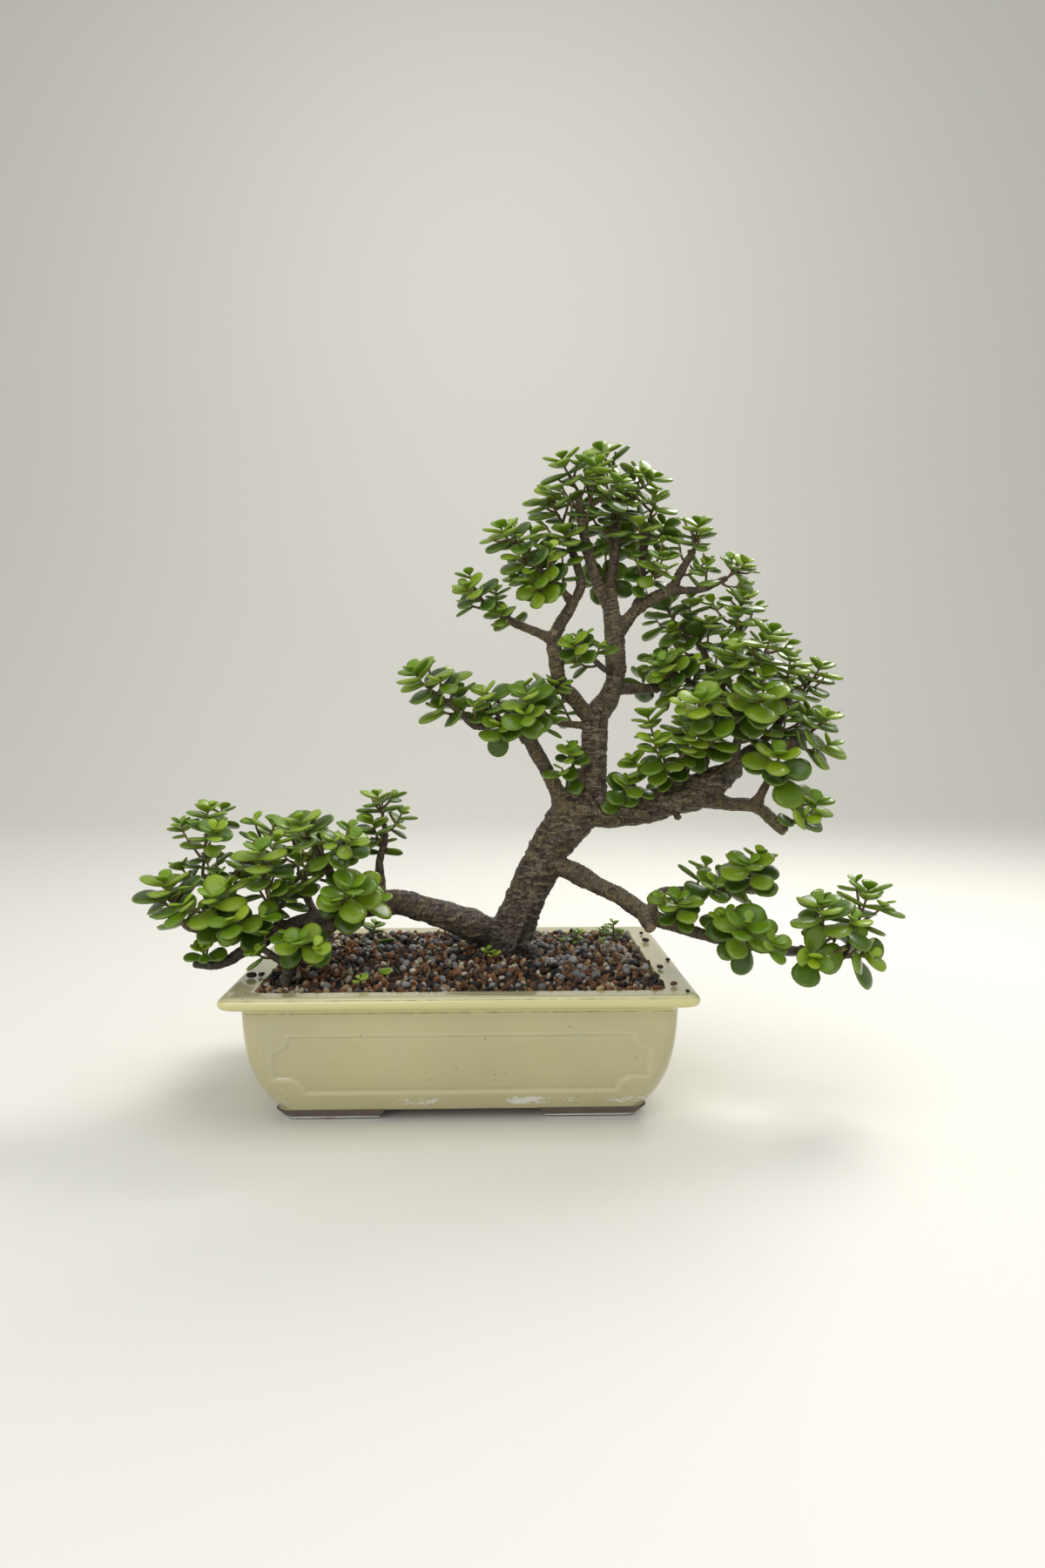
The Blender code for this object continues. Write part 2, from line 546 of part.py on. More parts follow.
def make_wood():
    made_of = material("ringed_bark", (0.18, 0.13, 0.10), 0.7)
    wood = None
    for name, (sides, rows) in LIMBS.items():
        points = [tree_point(*row[:3]) for row in rows]
        if name == "trunk":
            points[0].z = SOIL_LEVEL - STUMP_DEPTH
        bm = bmesh.new()
        tube(bm, points, [limb_radius(row[3]) for row in rows], sides, turn=0.3 + 0.17 * len(name))
        limb = add_object(name, bm, made_of)
        if wood is None:
            wood = limb
            wood.name = "trunk_and_branches"
        else:
            combine(wood, limb, "UNION")
    routes = [(*root_route(angle), 7) for angle in ROOT_ANGLES] + [(*dropping_route(), 6)]
    fork = [dropping_route()[0][3] + Vector(p) * MM for p in ((0, 0, 0), (-9, 2, 5), (-16, 5, 9), (-19, 6, 12))]
    routes.append((fork, [limb_radius(r) for r in (2.3, 1.8, 1.6, 1.2)], 5))
    for points, radii, sides in routes:
        bm = bmesh.new()
        tube(bm, points, radii, sides, turn=0.2)
        combine(wood, add_object("limb", bm, made_of), "UNION")
    return wood


# ---------------------------------------------------------------- leafy shoots

# Each shoot is (where it leaves the wood, its tip, pairs of leaves, leaf size), in
# millimetres, heights above the soil. The size is a share of LEAF_LENGTH.
SHOOTS = {
    "shoot_far_left_tall": ((-145, -18, 53), (-141, -20, 90), 5, 0.85),
    "shoot_far_left_end": ((-152, -41, 35), (-157, -46, 53), 3, 1.05),
    "shoot_far_left_front": ((-133, -34, 25), (-131, -52, 46), 3, 1.10),
    "shoot_far_left_stub": ((-138, -36, 7), (-138, -46, 18), 2, 0.65),
    "shoot_left_middle": ((-115, -31, 24), (-119, -60, 36), 3, 0.95),
    "shoot_left_back": ((-122, -6, 58), (-108, -2, 80), 4, 0.90),
    "shoot_left_twig_d": ((-105, -40, 49), (-107, -50, 70), 4, 0.95),
    "shoot_left_twig_a": ((-93, -12, 53), (-99, 4, 78), 4, 0.90),
    "shoot_left_twig_b": ((-80, -34, 69), (-86, -42, 86), 4, 0.95),
    "shoot_left_twig_g": ((-69, -38, 66), (-58, -50, 76), 3, 0.90),
    "shoot_left_rosette": ((-66, -24, 34), (-58, -54, 51), 3, 1.10),
    "shoot_left_inner": ((-45, -8, 80), (-49, -6, 96), 4, 0.85),
    "shoot_dropping": ((-80, -43, 17), (-84, -66, 26), 2, 0.90),
    "shoot_arm_end": ((-9, -32, 149), (-25, -42, 164), 4, 1.00),
    "shoot_arm_middle": ((21, -18, 138), (12, -32, 153), 3, 1.05),
    "shoot_arm_elbow": ((42, -20, 138), (34, -40, 152), 3, 1.00),
    "shoot_arm_back": ((42, -4, 144), (51, -10, 160), 4, 0.85),
    "shoot_knuckle": ((64, 2, 109), (60, -14, 124), 3, 0.85),
    "shoot_crown_cut": ((65, -4, 267), (55, -12, 284), 3, 0.90),
    "shoot_crown_front": ((69, 0, 247), (74, -16, 280), 4, 0.95),
    "shoot_crown_top": ((90, 22, 283), (80, 16, 296), 3, 1.00),
    "shoot_crown_right": ((91, 20, 270), (110, 8, 279), 4, 0.90),
    "shoot_crown_back": ((88, 16, 235), (97, 36, 254), 4, 0.95),
    "shoot_crown_inner": ((107, 14, 252), (110, 2, 268), 3, 0.85),
    "shoot_crown_left": ((58, 6, 249), (48, -4, 267), 4, 0.95),
    "shoot_crown_far_left": ((33, -20, 230), (21, -30, 242), 3, 0.90),
    "shoot_crown_low_left": ((53, -9, 214), (37, -30, 217), 3, 0.95),
    "shoot_crown_arm_end": ((13, -26, 202), (3, -36, 210), 3, 0.85),
    "shoot_crown_out": ((130, -6, 234), (132, -10, 249), 4, 0.80),
    "shoot_crown_side": ((103, 8, 214), (112, -12, 230), 3, 0.85),
    "shoot_crown_far_out": ((146, -20, 217), (154, -28, 224), 3, 0.75),
    "shoot_leader_side": ((68, -14, 176), (60, -26, 181), 3, 0.80),
    "shoot_back_low": ((86, 14, 219), (84, 38, 226), 4, 0.95),
    "shoot_top_g": ((125, 24, 197), (121, 30, 210), 3, 0.95),
    "shoot_top_e": ((126, 4, 163), (113, -10, 172), 3, 0.80),
    "shoot_top_f": ((125, 22, 163), (116, 40, 178), 4, 0.90),
    "shoot_heavy_front": ((122, -6, 100), (104, -34, 128), 4, 0.85),
    "shoot_top_b": ((159, -32, 164), (166, -42, 186), 4, 1.00),
    "shoot_top_b_front": ((155, -24, 140), (158, -56, 154), 3, 1.10),
    "shoot_top_c": ((197, 6, 155), (205, -2, 170), 4, 0.95),
    "shoot_top_c_up": ((184, 1, 142), (184, -14, 174), 4, 0.95),
    "shoot_top_h": ((158, 6, 199), (160, 0, 210), 3, 0.85),
    "shoot_top_a": ((141, -20, 135), (126, -50, 150), 4, 1.05),
    "shoot_heavy_out": ((192, -26, 131), (199, -34, 141), 3, 0.80),
    "shoot_heavy_drop": ((173, -24, 110), (170, -44, 120), 2, 1.15),
    "shoot_heavy_drop_end": ((180, -22, 78), (194, -36, 94), 3, 0.95),
    "shoot_low_right_upper": ((161, -30, 46), (154, -46, 62), 3, 1.00),
    "shoot_low_right_near": ((118, -24, 24), (117, -42, 42), 3, 0.85),
    "shoot_low_right_front": ((150, -32, 17), (150, -60, 32), 4, 1.10),
    "shoot_low_right_end": ((213, -41, 21), (222, -38, 46), 4, 1.05),
    "shoot_low_right_tall": ((196, -46, 12), (190, -58, 42), 4, 1.10),
}


def surface_start(point, tip, wood_tree):
    """Where a line from inside the wood towards the tip comes out, and the way out there."""
    way = (tip - point).normalized()
    near, normal, _, _ = wood_tree.find_nearest(point)
    inside = point
    if (point - near).dot(normal) > -0.0005:
        inside = near - normal * 0.0005
    hit, out, _, _ = wood_tree.ray_cast(inside, way, 0.03)
    if hit is None:
        hit, out = near, normal
    if out.dot(way) < 0.2:
        out = (out + way * 0.5).normalized()
    return hit, out


def shoot_mesh(start, way_out, tip, pairs, size, roll, rise, stand_off):
    """A stem with pairs of thick leaves set crosswise, as one closed mesh."""
    rng = random.Random(int(roll * 1000) + pairs)
    foot = start + way_out * stand_off
    span = (tip - foot).length
    towards = (tip - foot).normalized()
    bend_a = foot + way_out * span * 0.30
    bend_b = tip - (towards + Vector((0, 0, 0.5))).normalized() * span * 0.30
    length, width, thick = LEAF_LENGTH * size, LEAF_WIDTH * size, LEAF_THICKNESS * size

    def stem(t):
        s = 1 - t
        return foot * s ** 3 + bend_a * 3 * s * s * t + bend_b * 3 * s * t * t + tip * t ** 3

    half_node = 0.0007
    rows = [(0.0, None)]
    first = min(0.45, 0.0045 / span + 0.10)
    for pair in range(pairs):
        share = first + (0.96 - first) * (pair / max(pairs - 1, 1)) ** 0.9
        rows.append((share - half_node / span, None))
        rows.append((share + half_node / span, pair))
    points = [stem(t) for t, _ in rows]
    bm = bmesh.new()
    rings = []
    for (t, _), point, (way, side) in zip(rows, points, frames_along(points)):
        up = way.cross(side)
        half = STEM_WIDTH * (0.52 - 0.16 * t)
        ring = []
        for k in range(4):
            angle = roll + math.pi / 4 + k * math.pi / 2
            ring.append(bm.verts.new(point + half * 1.414 * (side * math.cos(angle) + up * math.sin(angle))))
        rings.append((ring, way, point))
    bm.faces.new(rings[0][0])
    bm.faces.new(rings[-1][0])
    for index in range(1, len(rings)):
        (low, _, _), (high, way, point) = rings[index - 1], rings[index]
        pair = rows[index][1]
        for k in range(4):
            j = (k + 1) % 4
            a, b, c, d = low[k], low[j], high[j], high[k]
            if pair is None or k % 2 != pair % 2:
                bm.faces.new((a, b, c, d))
                continue
            middle = (a.co + b.co + c.co + d.co) / 4
            out = (middle - point)
            out = (out - way * out.dot(way)).normalized()
            across = (b.co - a.co).normalized()
            young = pair / max(pairs - 1, 1)
            lift = math.radians(rise + 26 * young + rng.uniform(-8, 8))
            grow = (1.0 - 0.22 * young) * rng.uniform(0.92, 1.06)
            along = (out * math.cos(lift) + way * math.sin(lift)).normalized()
            over = across.cross(along)
            if over.dot(way) < 0:
                over = -over
            wide = middle + along * length * grow * 0.60
            end = middle + along * length * grow
            w, h = width * grow / 2, thick * grow / 2
            e, f = bm.verts.new(wide - across * w - over * h), bm.verts.new(wide + across * w - over * h)
            g, i = bm.verts.new(wide + across * w + over * h), bm.verts.new(wide - across * w + over * h)
            m, n = bm.verts.new(end - across * w * 0.55), bm.verts.new(end + across * w * 0.55)
            for face in ((a, b, f, e), (b, c, g, f), (c, d, i, g), (d, a, e, i),
                         (e, f, n, m), (g, i, m, n), (f, g, n), (i, e, m)):
                bm.faces.new(face)
    bmesh.ops.recalc_face_normals(bm, faces=bm.faces)
    return bm


def is_clear(bm, obstacles):
    """Whether a mesh, grown by most of the clearance, meets none of its neighbours."""
    grown = bm.copy()
    grown.normal_update()
    for vert in grown.verts:
        vert.co += vert.normal * GAP * 0.8
    tree = BVHTree.FromBMesh(grown)
    grown.free()
    return not any(tree.overlap(other) for other in obstacles)


def tree_of(obj):
    bm = bmesh.new()
    bm.from_mesh(obj.data)
    tree = BVHTree.FromBMesh(bm)
    bm.free()
    return tree


def make_shoots(wood, others):
    wood_tree = tree_of(wood)
    obstacles = [wood_tree] + [tree_of(other) for other in others]
    made_of = material("succulent_leaf", (0.10, 0.24, 0.05), 0.35)
    shoots = []
    for number, (name, (foot, tip, pairs, size)) in enumerate(SHOOTS.items()):
        foot, tip = tree_point(*foot), tree_point(*tip)
        span = (tip - foot).length
        tip = tip.lerp(foot, min(LEAF_OVERHANG / span, 0.3))
        start, way_out = surface_start(foot, tip, wood_tree)
        for attempt in range(240):
            rng = random.Random(number * 1000 + attempt)
            nudge = Vector([rng.uniform(-1, 1) for _ in range(3)]) * 0.0002 * (attempt // 6)
            shrink = 1.0 - 0.0024 * max(0, attempt - 24)
            roll = 0.4 + number * 0.9 + attempt * 0.39
            rise = 22 + 10 * rng.random()
            stand_off = GAP * 1.15 + 0.00001 * max(0, attempt - 12)
            bm = shoot_mesh(start, way_out, tip + nudge, pairs, size * shrink, roll, rise, stand_off)
            if is_clear(bm, obstacles):
                break
            bm.free()
        else:
            raise RuntimeError(f"{name} has no room")
        shoot = add_object(name, bm, made_of)
        obstacles.append(tree_of(shoot))
        shoots.append(shoot)
        if attempt > 30:
            print(name, "settled after", attempt)
    return shoots


def make_fallen_leaf(name, x, y, turn, size):
    """A shed leaf lying on the soil."""
    bm = bmesh.new()
    length, width, thick = LEAF_LENGTH * size, LEAF_WIDTH * size, LEAF_THICKNESS * size
    loops = []
    for along, w, h in ((-0.5, 0.12, 0.25), (0.08, 0.5, 0.5), (0.5, 0.22, 0.2)):
        loops.append([Vector((along * length, sy * w * width, sz * h * thick))
                      for sy, sz in ((-1, -1), (1, -1), (1, 1), (-1, 1))])
    loft(bm, loops)
    bmesh.ops.rotate(bm, verts=bm.verts, cent=(0, 0, 0), matrix=Matrix.Rotation(math.radians(turn), 3, "Z"))
    x, y = x * MM, y * MM
    ground = max(soil_height(x + dx * length / 2, y + dy * length / 2) for dx in (-1, 0, 1) for dy in (-1, 0, 1))
    bmesh.ops.translate(bm, verts=bm.verts, vec=(x, y, ground + thick / 2 + 2 * GAP))
    return add_object(name, bm, material(name, (0.16, 0.26, 0.06), 0.4))


# ---------------------------------------------------------------- the whole plant


def centre_on_base(objects):
    """Moves every object so that the plant's bounding box stands on the origin."""
    low = Vector((1e9, 1e9, 1e9))
    high = -low
    for obj in objects:
        for vert in obj.data.vertices:
            for k in range(3):
                low[k] = min(low[k], vert.co[k])
                high[k] = max(high[k], vert.co[k])
    shift = Vector((-(low.x + high.x) / 2, -(low.y + high.y) / 2, -low.z))
    for obj in objects:
        obj.location = shift
    print("box", (high - low) * 1000, "shift", shift * 1000)


clear_scene()
the_pot = make_pot()
drains = (("left", -DRAIN_X), ("right", DRAIN_X))
screens = [make_screen(f"drain_screen_{side}", x) for side, x in drains]
clips = [make_clip(f"screen_clip_{side}", x) for side, x in drains]

the_soil = make_soil()
for _, drain_x in drains:
    combine(the_soil, screen_room(drain_x), "DIFFERENCE")
combine(the_soil, wood_room(), "DIFFERENCE")

the_wood = make_wood()
fallen = [
    make_fallen_leaf("fallen_leaf_back", -48, 22, 25, 0.62),
    make_fallen_leaf("fallen_leaf_front", -42, -42, -35, 0.55),
]
all_shoots = make_shoots(the_wood, [the_pot, the_soil, *fallen])
centre_on_base([the_pot, *screens, *clips, the_soil, the_wood, *fallen, *all_shoots])
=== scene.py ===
import math
import random

import bmesh
import bpy
import numpy as np
from mathutils import Matrix, Vector


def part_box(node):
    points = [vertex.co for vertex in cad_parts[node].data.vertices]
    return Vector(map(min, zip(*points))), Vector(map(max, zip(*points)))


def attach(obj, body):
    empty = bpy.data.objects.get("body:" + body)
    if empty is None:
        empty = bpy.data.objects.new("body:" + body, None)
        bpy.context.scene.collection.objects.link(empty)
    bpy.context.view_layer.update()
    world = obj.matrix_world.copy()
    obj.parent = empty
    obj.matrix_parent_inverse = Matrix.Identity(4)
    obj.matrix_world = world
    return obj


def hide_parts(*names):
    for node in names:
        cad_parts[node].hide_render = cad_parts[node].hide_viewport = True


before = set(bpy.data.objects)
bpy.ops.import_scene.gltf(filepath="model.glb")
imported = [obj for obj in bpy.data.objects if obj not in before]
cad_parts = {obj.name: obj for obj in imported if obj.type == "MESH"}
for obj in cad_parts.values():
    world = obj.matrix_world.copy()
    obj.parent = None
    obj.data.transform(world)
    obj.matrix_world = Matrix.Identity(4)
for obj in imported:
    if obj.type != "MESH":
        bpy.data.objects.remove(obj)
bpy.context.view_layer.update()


# ---------------------------------------------------------------- pot
# A slip-cast stoneware pot with a wide flat rim, a notched sunken field on each side and four
# corner feet. It is dipped in an olive-cream glaze that runs thin and pale over the edges; the pale
# edges are partly a painted highlight too. The feet and the underside are bare clay, and hard water
# has left lime low on the walls.
MM = 0.001
pot_low, pot_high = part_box("pot")
POT_X = (pot_low.x + pot_high.x) / 2
RIM_X = (pot_high.x - pot_low.x) / 2
RIM_Y = (pot_high.y - pot_low.y) / 2
POT_TOP = pot_high.z
BODY_FOOT = 6.0 * MM
BODY_TOP = 60.6 * MM
LIP_BOTTOM = 61.5 * MM
WALL = 6.5 * MM
FLOOR_TOP = 13.0 * MM
DRAIN_X = 55.0 * MM
DRAIN_RADIUS = 10.0 * MM
FIELD_LOW = 17.5 * MM
FIELD_HIGH = 49.0 * MM
FIELD_MARGIN = 24.7 * MM
FIELD_NOTCH = 8.5 * MM
FIELD_SHOULDER = 7.2 * MM
FIELD_DEPTH = 0.95 * MM
# The lip's section as (distance in from the rim's edge, height), from the wall up and over.
LIP_SECTION = [
    (9.2, 60.6), (9.0, 61.6), (7.9, 62.8), (6.0, 63.5), (3.8, 64.0), (1.9, 64.7), (0.6, 65.8),
    (0.05, 67.3), (0.2, 68.8), (0.9, 70.0), (2.1, 70.75), (3.6, 71.0), (6.0, 70.85), (10.0, 70.75),
    (13.2, 70.65), (14.6, 70.2), (15.2, 69.2), (15.5, 67.0),
]


def body_inset(z):
    """How far the body's outside lies inside the rim's edge at a height."""
    share = max(0.0, 1.0 - z / LIP_BOTTOM)
    return 9.2 * MM + 3.5 * MM * share + 16.3 * MM * share ** 3.2


def smooth_step(low, high, value):
    t = np.clip((value - low) / (high - low), 0.0, 1.0)
    return t * t * (3 - 2 * t)


def smooth_route(points, step):
    """Points at an even step along a smooth curve through the rows, all columns carried along."""
    rows = np.array(points, float)
    rows = np.vstack([2 * rows[0] - rows[1], rows, 2 * rows[-1] - rows[-2]])
    fine = []
    for a, b, c, d in zip(rows, rows[1:], rows[2:], rows[3:]):
        for t in np.linspace(0, 1, 12, endpoint=False):
            fine.append(0.5 * (2 * b + (c - a) * t + (2 * a - 5 * b + 4 * c - d) * t * t
                               + (3 * b - a - 3 * c + d) * t ** 3))
    fine.append(rows[-2])
    fine = np.array(fine)
    lengths = np.linalg.norm(np.diff(fine[:, :min(3, fine.shape[1])], axis=0), axis=1)
    along = np.concatenate([[0], np.cumsum(lengths)])
    count = max(2, int(round(along[-1] / step)) + 1)
    wanted = np.linspace(0, along[-1], count)
    return np.stack([np.interp(wanted, along, fine[:, k]) for k in range(fine.shape[1])], axis=1)


def new_object(name, data):
    """An object in the scene at the origin."""
    made = bpy.data.objects.new(name, data)
    bpy.context.scene.collection.objects.link(made)
    return made


def mesh_object(name, points, faces, **values):
    """A mesh object in the row frame, with a float attribute on its points for each of values."""
    mesh = bpy.data.meshes.new(name)
    mesh.from_pydata([tuple(p) for p in points], [], faces)
    for attribute, numbers in values.items():
        made = mesh.attributes.new(attribute, "FLOAT", "POINT")
        made.data.foreach_set("value", np.asarray(numbers, np.float32))
    mesh.shade_smooth()
    mesh.update()
    return new_object(name, mesh)


def rounded_outline(half_x, half_y, radius, columns_x, columns_y, corner_steps):
    """The (x, y) points of a rounded rectangle, counter-clockwise from its lower right corner."""
    points = []
    corners = [(1, -1, -90, columns_y), (1, 1, 0, columns_x), (-1, 1, 90, columns_y),
               (-1, -1, 180, columns_x)]
    for sx, sy, start, _ in corners:
        for step in range(corner_steps + 1):
            angle = math.radians(start + 90 * step / corner_steps)
            points.append((sx * (half_x - radius) + radius * math.cos(angle),
                           sy * (half_y - radius) + radius * math.sin(angle)))
    full = []
    for number, (_, _, _, columns) in enumerate(corners):
        corner = points[number * (corner_steps + 1):(number + 1) * (corner_steps + 1)]
        after = points[((number + 1) * (corner_steps + 1)) % len(points)]
        full += corner
        last = corner[-1]
        for k in range(1, columns):
            t = k / columns
            full.append((last[0] + (after[0] - last[0]) * t, last[1] + (after[1] - last[1]) * t))
    return np.array(full)


def field_distance(across, z, half):
    """Signed distance to the sunken field's outline, negative inside."""
    top, low = FIELD_HIGH, FIELD_LOW
    wide = np.maximum(np.abs(across) - half, np.maximum(low + FIELD_NOTCH - z, z - top))
    narrow = np.maximum(np.abs(across) - (half - FIELD_SHOULDER), np.maximum(low - z, z - top))
    notch_top = FIELD_NOTCH - np.hypot(np.abs(across) - half, z - top)
    notch_low = FIELD_NOTCH - np.hypot(np.abs(across) - (half - FIELD_SHOULDER), z - low)
    return np.maximum(np.minimum(wide, narrow), np.maximum(notch_top, notch_low))


def field_sink(distance):
    """How deep the wall sinks near the field's outline: a soft step with a fine groove inside it."""
    step = FIELD_DEPTH * smooth_step(0.7 * MM, -1.5 * MM, distance)
    groove = 0.30 * MM * np.exp(-((distance + 1.1 * MM) / (0.8 * MM)) ** 2)
    return step + groove


def lattice(points, size, seed):
    """Smooth random values from 0 to 1 over space, with features about as large as size."""
    cell = np.floor(points / size).astype(np.int64)
    part = points / size - cell
    part = part * part * (3 - 2 * part)
    total = np.zeros(len(points))
    for corner in range(8):
        bits = np.array([corner & 1, corner >> 1 & 1, corner >> 2 & 1])
        spot = cell + bits
        mixed = spot[:, 0] * 73856093 ^ spot[:, 1] * 19349663 ^ spot[:, 2] * 83492791 ^ seed * 2654435761
        mixed = (mixed ^ (mixed >> 13)) * 1274126177 & 0xFFFFFFFF
        value = ((mixed ^ (mixed >> 16)) & 0xFFFF) / 65535.0
        weight = np.prod(np.where(bits == 1, part, 1 - part), axis=1)
        total += value * weight
    return total


def build_pot():
    columns_x, columns_y, corner_steps = 150, 112, 10
    rows = [(body_inset(BODY_FOOT) + 2.0 * MM, BODY_FOOT, 0),
            (body_inset(BODY_FOOT) + 0.7 * MM, BODY_FOOT, 0),
            (body_inset(BODY_FOOT) + 0.1 * MM, BODY_FOOT + 0.35 * MM, 0)]
    for z in np.linspace(BODY_FOOT + 1.0 * MM, BODY_TOP, 60):
        rows.append((body_inset(z), z, 1))
    for inset, z in smooth_route(LIP_SECTION[1:], 0.7):
        rows.append((inset * MM, z * MM, 2))
    for z in np.linspace(64.0, FLOOR_TOP / MM + 4.0, 14) * MM:
        rows.append((body_inset(min(z, LIP_BOTTOM)) + WALL, z, 3))
    inner = body_inset(FLOOR_TOP) + WALL
    rows += [(inner + 1.2 * MM, FLOOR_TOP + 1.2 * MM, 3), (inner + 4.0 * MM, FLOOR_TOP, 3)]
    points, edge = [], []
    for inset, z, zone in rows:
        radius = {0: 7.0, 1: 7.0, 2: 6.5, 3: 7.0}[zone] * MM
        if zone == 2:
            radius = (4.5 + 3.0 * min(1.0, inset / (15 * MM))) * MM
        elif zone == 1:
            radius = (7.5 + 5.0 * (1 - z / BODY_TOP) ** 2) * MM
        ring = rounded_outline(RIM_X - inset, RIM_Y - inset, radius, columns_x, columns_y, corner_steps)
        ring = np.column_stack([ring, np.full(len(ring), z)])
        mark = np.zeros(len(ring))
        if zone == 1:
            for axis, half_out, half_field in ((1, RIM_Y, RIM_X - FIELD_MARGIN),
                                               (0, RIM_X, RIM_Y - FIELD_MARGIN)):
                on_face = np.abs(np.abs(ring[:, axis]) - (half_out - inset)) < 1e-6
                away = field_distance(ring[:, 1 - axis], ring[:, 2], half_field)
                sink = np.where(on_face, field_sink(away), 0.0)
                ring[:, axis] -= np.sign(ring[:, axis]) * sink
                # The field's outline is marked pale: glaze running thin over the edge, and partly a painted
                # highlight.
                ridge = np.exp(-((away - 0.5 * MM) / (1.0 * MM)) ** 2)
                mark = np.maximum(mark, np.where(on_face, ridge, 0.0) * 0.7)
        if zone == 2:
            # The lip's outer top edge and its inner edge are marked pale: thin glaze, and partly a painted
            # highlight.
            mark += math.exp(-((inset - 2.6 * MM) / (1.3 * MM)) ** 2) * (z > 69 * MM)
            mark += 0.8 * math.exp(-((inset - 14.4 * MM) / (0.9 * MM)) ** 2)
        points.append(ring)
        edge.append(mark)
    count = len(points[0])
    points = np.vstack(points)
    edge = np.concatenate(edge)
    wobble = (lattice(points, 46 * MM, 3) - 0.5) * 0.9 * MM
    wobble = wobble + (lattice(points, 17 * MM, 4) - 0.5) * 0.25 * MM
    out = points.copy()
    out[:, 2] = 0
    out /= np.maximum(np.linalg.norm(out, axis=1, keepdims=True), 1e-6)
    wobble *= smooth_step(BODY_FOOT, BODY_FOOT + 10 * MM, points[:, 2])
    inside_box = np.where(points[:, 2] > LIP_BOTTOM, -np.abs(wobble) * 0.5, wobble)
    points += out * inside_box[:, None]
    points[:, 0] += POT_X
    bm = bmesh.new()
    layer = bm.verts.layers.float.new("edge")
    verts = [bm.verts.new(p) for p in points]
    for vert, value in zip(verts, edge):
        vert[layer] = value
    for row in range(len(rows) - 1):
        for k in range(count):
            j = (k + 1) % count
            bm.faces.new((verts[row * count + k], verts[row * count + j],
                          verts[(row + 1) * count + j], verts[(row + 1) * count + k]))
    first, last = verts[:count], verts[-count:]
    drain_rings = {}
    for level in (BODY_FOOT, FLOOR_TOP):
        loops = [first if level == BODY_FOOT else last]
        for side in (-1, 1):
            ring = [bm.verts.new((POT_X + side * DRAIN_X + DRAIN_RADIUS * math.cos(a),
                                  DRAIN_RADIUS * math.sin(a), level))
                    for a in np.linspace(0, 2 * math.pi, 32, endpoint=False)]
            drain_rings[side, level] = ring
            loops.append(ring)
        edges = []
        for loop in loops:
            for a, b in zip(loop, loop[1:] + loop[:1]):
                edges.append(bm.edges.get((a, b)) or bm.edges.new((a, b)))
        made = bmesh.ops.triangle_fill(bm, use_beauty=True, use_dissolve=False, edges=edges)
        for face in made["geom"]:
            if isinstance(face, bmesh.types.BMFace) and level == BODY_FOOT:
                face.material_index = 1
    for side in (-1, 1):
        low, high = drain_rings[side, BODY_FOOT], drain_rings[side, FLOOR_TOP]
        for k in range(32):
            j = (k + 1) % 32
            bm.faces.new((low[k], low[j], high[j], high[k])).material_index = 1
    for sx in (-1, 1):
        for sy in (-1, 1):
            build_foot(bm, sx, sy)
    bmesh.ops.recalc_face_normals(bm, faces=bm.faces)
    mesh = bpy.data.meshes.new("glazed_pot")
    bm.to_mesh(mesh)
    bm.free()
    mesh.shade_smooth()
    mesh.set_sharp_from_angle(angle=math.radians(42))
    return new_object("glazed_pot", mesh)


def build_foot(bm, sx, sy):
    """One L-shaped corner foot, its faces sloping in towards the ground."""
    sections = []
    for z, tuck in ((0.0, 0.5), (0.5, 0.0), (2.2, 0.0), (4.2, 0.0), (6.6, 0.0)):
        inset = body_inset(z * MM) + tuck * MM
        share = min(z / 6.0, 1.0)
        hx, hy = RIM_X - inset, RIM_Y - inset
        ax, ay = (44 - 4 * share + tuck) * MM, (27 - 3 * share + tuck) * MM
        w = (13 - 2 * tuck) * MM
        r = 5 * MM
        loop = [(ax, hy), (ax, hy - w), (hx - w, hy - w), (hx - w, ay), (hx, ay)]
        for step in range(7):
            angle = math.radians(90 * step / 6)
            loop.append((hx - r + r * math.cos(angle), hy - r + r * math.sin(angle)))
        sections.append([bm.verts.new((POT_X + sx * x, sy * y, z * MM)) for x, y in loop])
    for low, high in zip(sections, sections[1:]):
        for k in range(len(low)):
            j = (k + 1) % len(low)
            bm.faces.new((low[k], low[j], high[j], high[k])).material_index = 1
    for cap in (sections[0], sections[-1]):
        bm.faces.new(cap).material_index = 1


def add_node(tree, kind, links=None, **settings):
    """A node with its settings, each input in links joined to a socket or set to a value."""
    made = tree.nodes.new(kind)
    for key, value in settings.items():
        setattr(made, key, value)
    for where, value in (links or {}).items():
        socket = made.inputs[where]
        if isinstance(value, bpy.types.NodeSocket):
            tree.links.new(value, socket)
        else:
            socket.default_value = value
    return made


def math_node(tree, operation, a, b=None, c=None, clamp=False):
    links = {0: a}
    if b is not None:
        links[1] = b
    if c is not None:
        links[2] = c
    return add_node(tree, "ShaderNodeMath", links, operation=operation, use_clamp=clamp).outputs[0]


def times(tree, a, b):
    return math_node(tree, "MULTIPLY", a, b)


def plus(tree, a, b, clamp=False):
    return math_node(tree, "ADD", a, b, clamp=clamp)


def mix_colour(tree, share, a, b, blend="MIX"):
    return add_node(tree, "ShaderNodeMix", {0: share, 6: a, 7: b}, data_type="RGBA",
                    blend_type=blend).outputs[2]


def map_range(tree, value, low, high, to_low=0.0, to_high=1.0, smooth=True):
    return add_node(tree, "ShaderNodeMapRange", {0: value, 1: low, 2: high, 3: to_low, 4: to_high},
                    interpolation_type="SMOOTHSTEP" if smooth else "LINEAR").outputs[0]


def attribute(tree, name):
    return add_node(tree, "ShaderNodeAttribute", attribute_name=name,
                    attribute_type="GEOMETRY").outputs["Fac"]


def colour(*rgb):
    return (*rgb, 1.0)


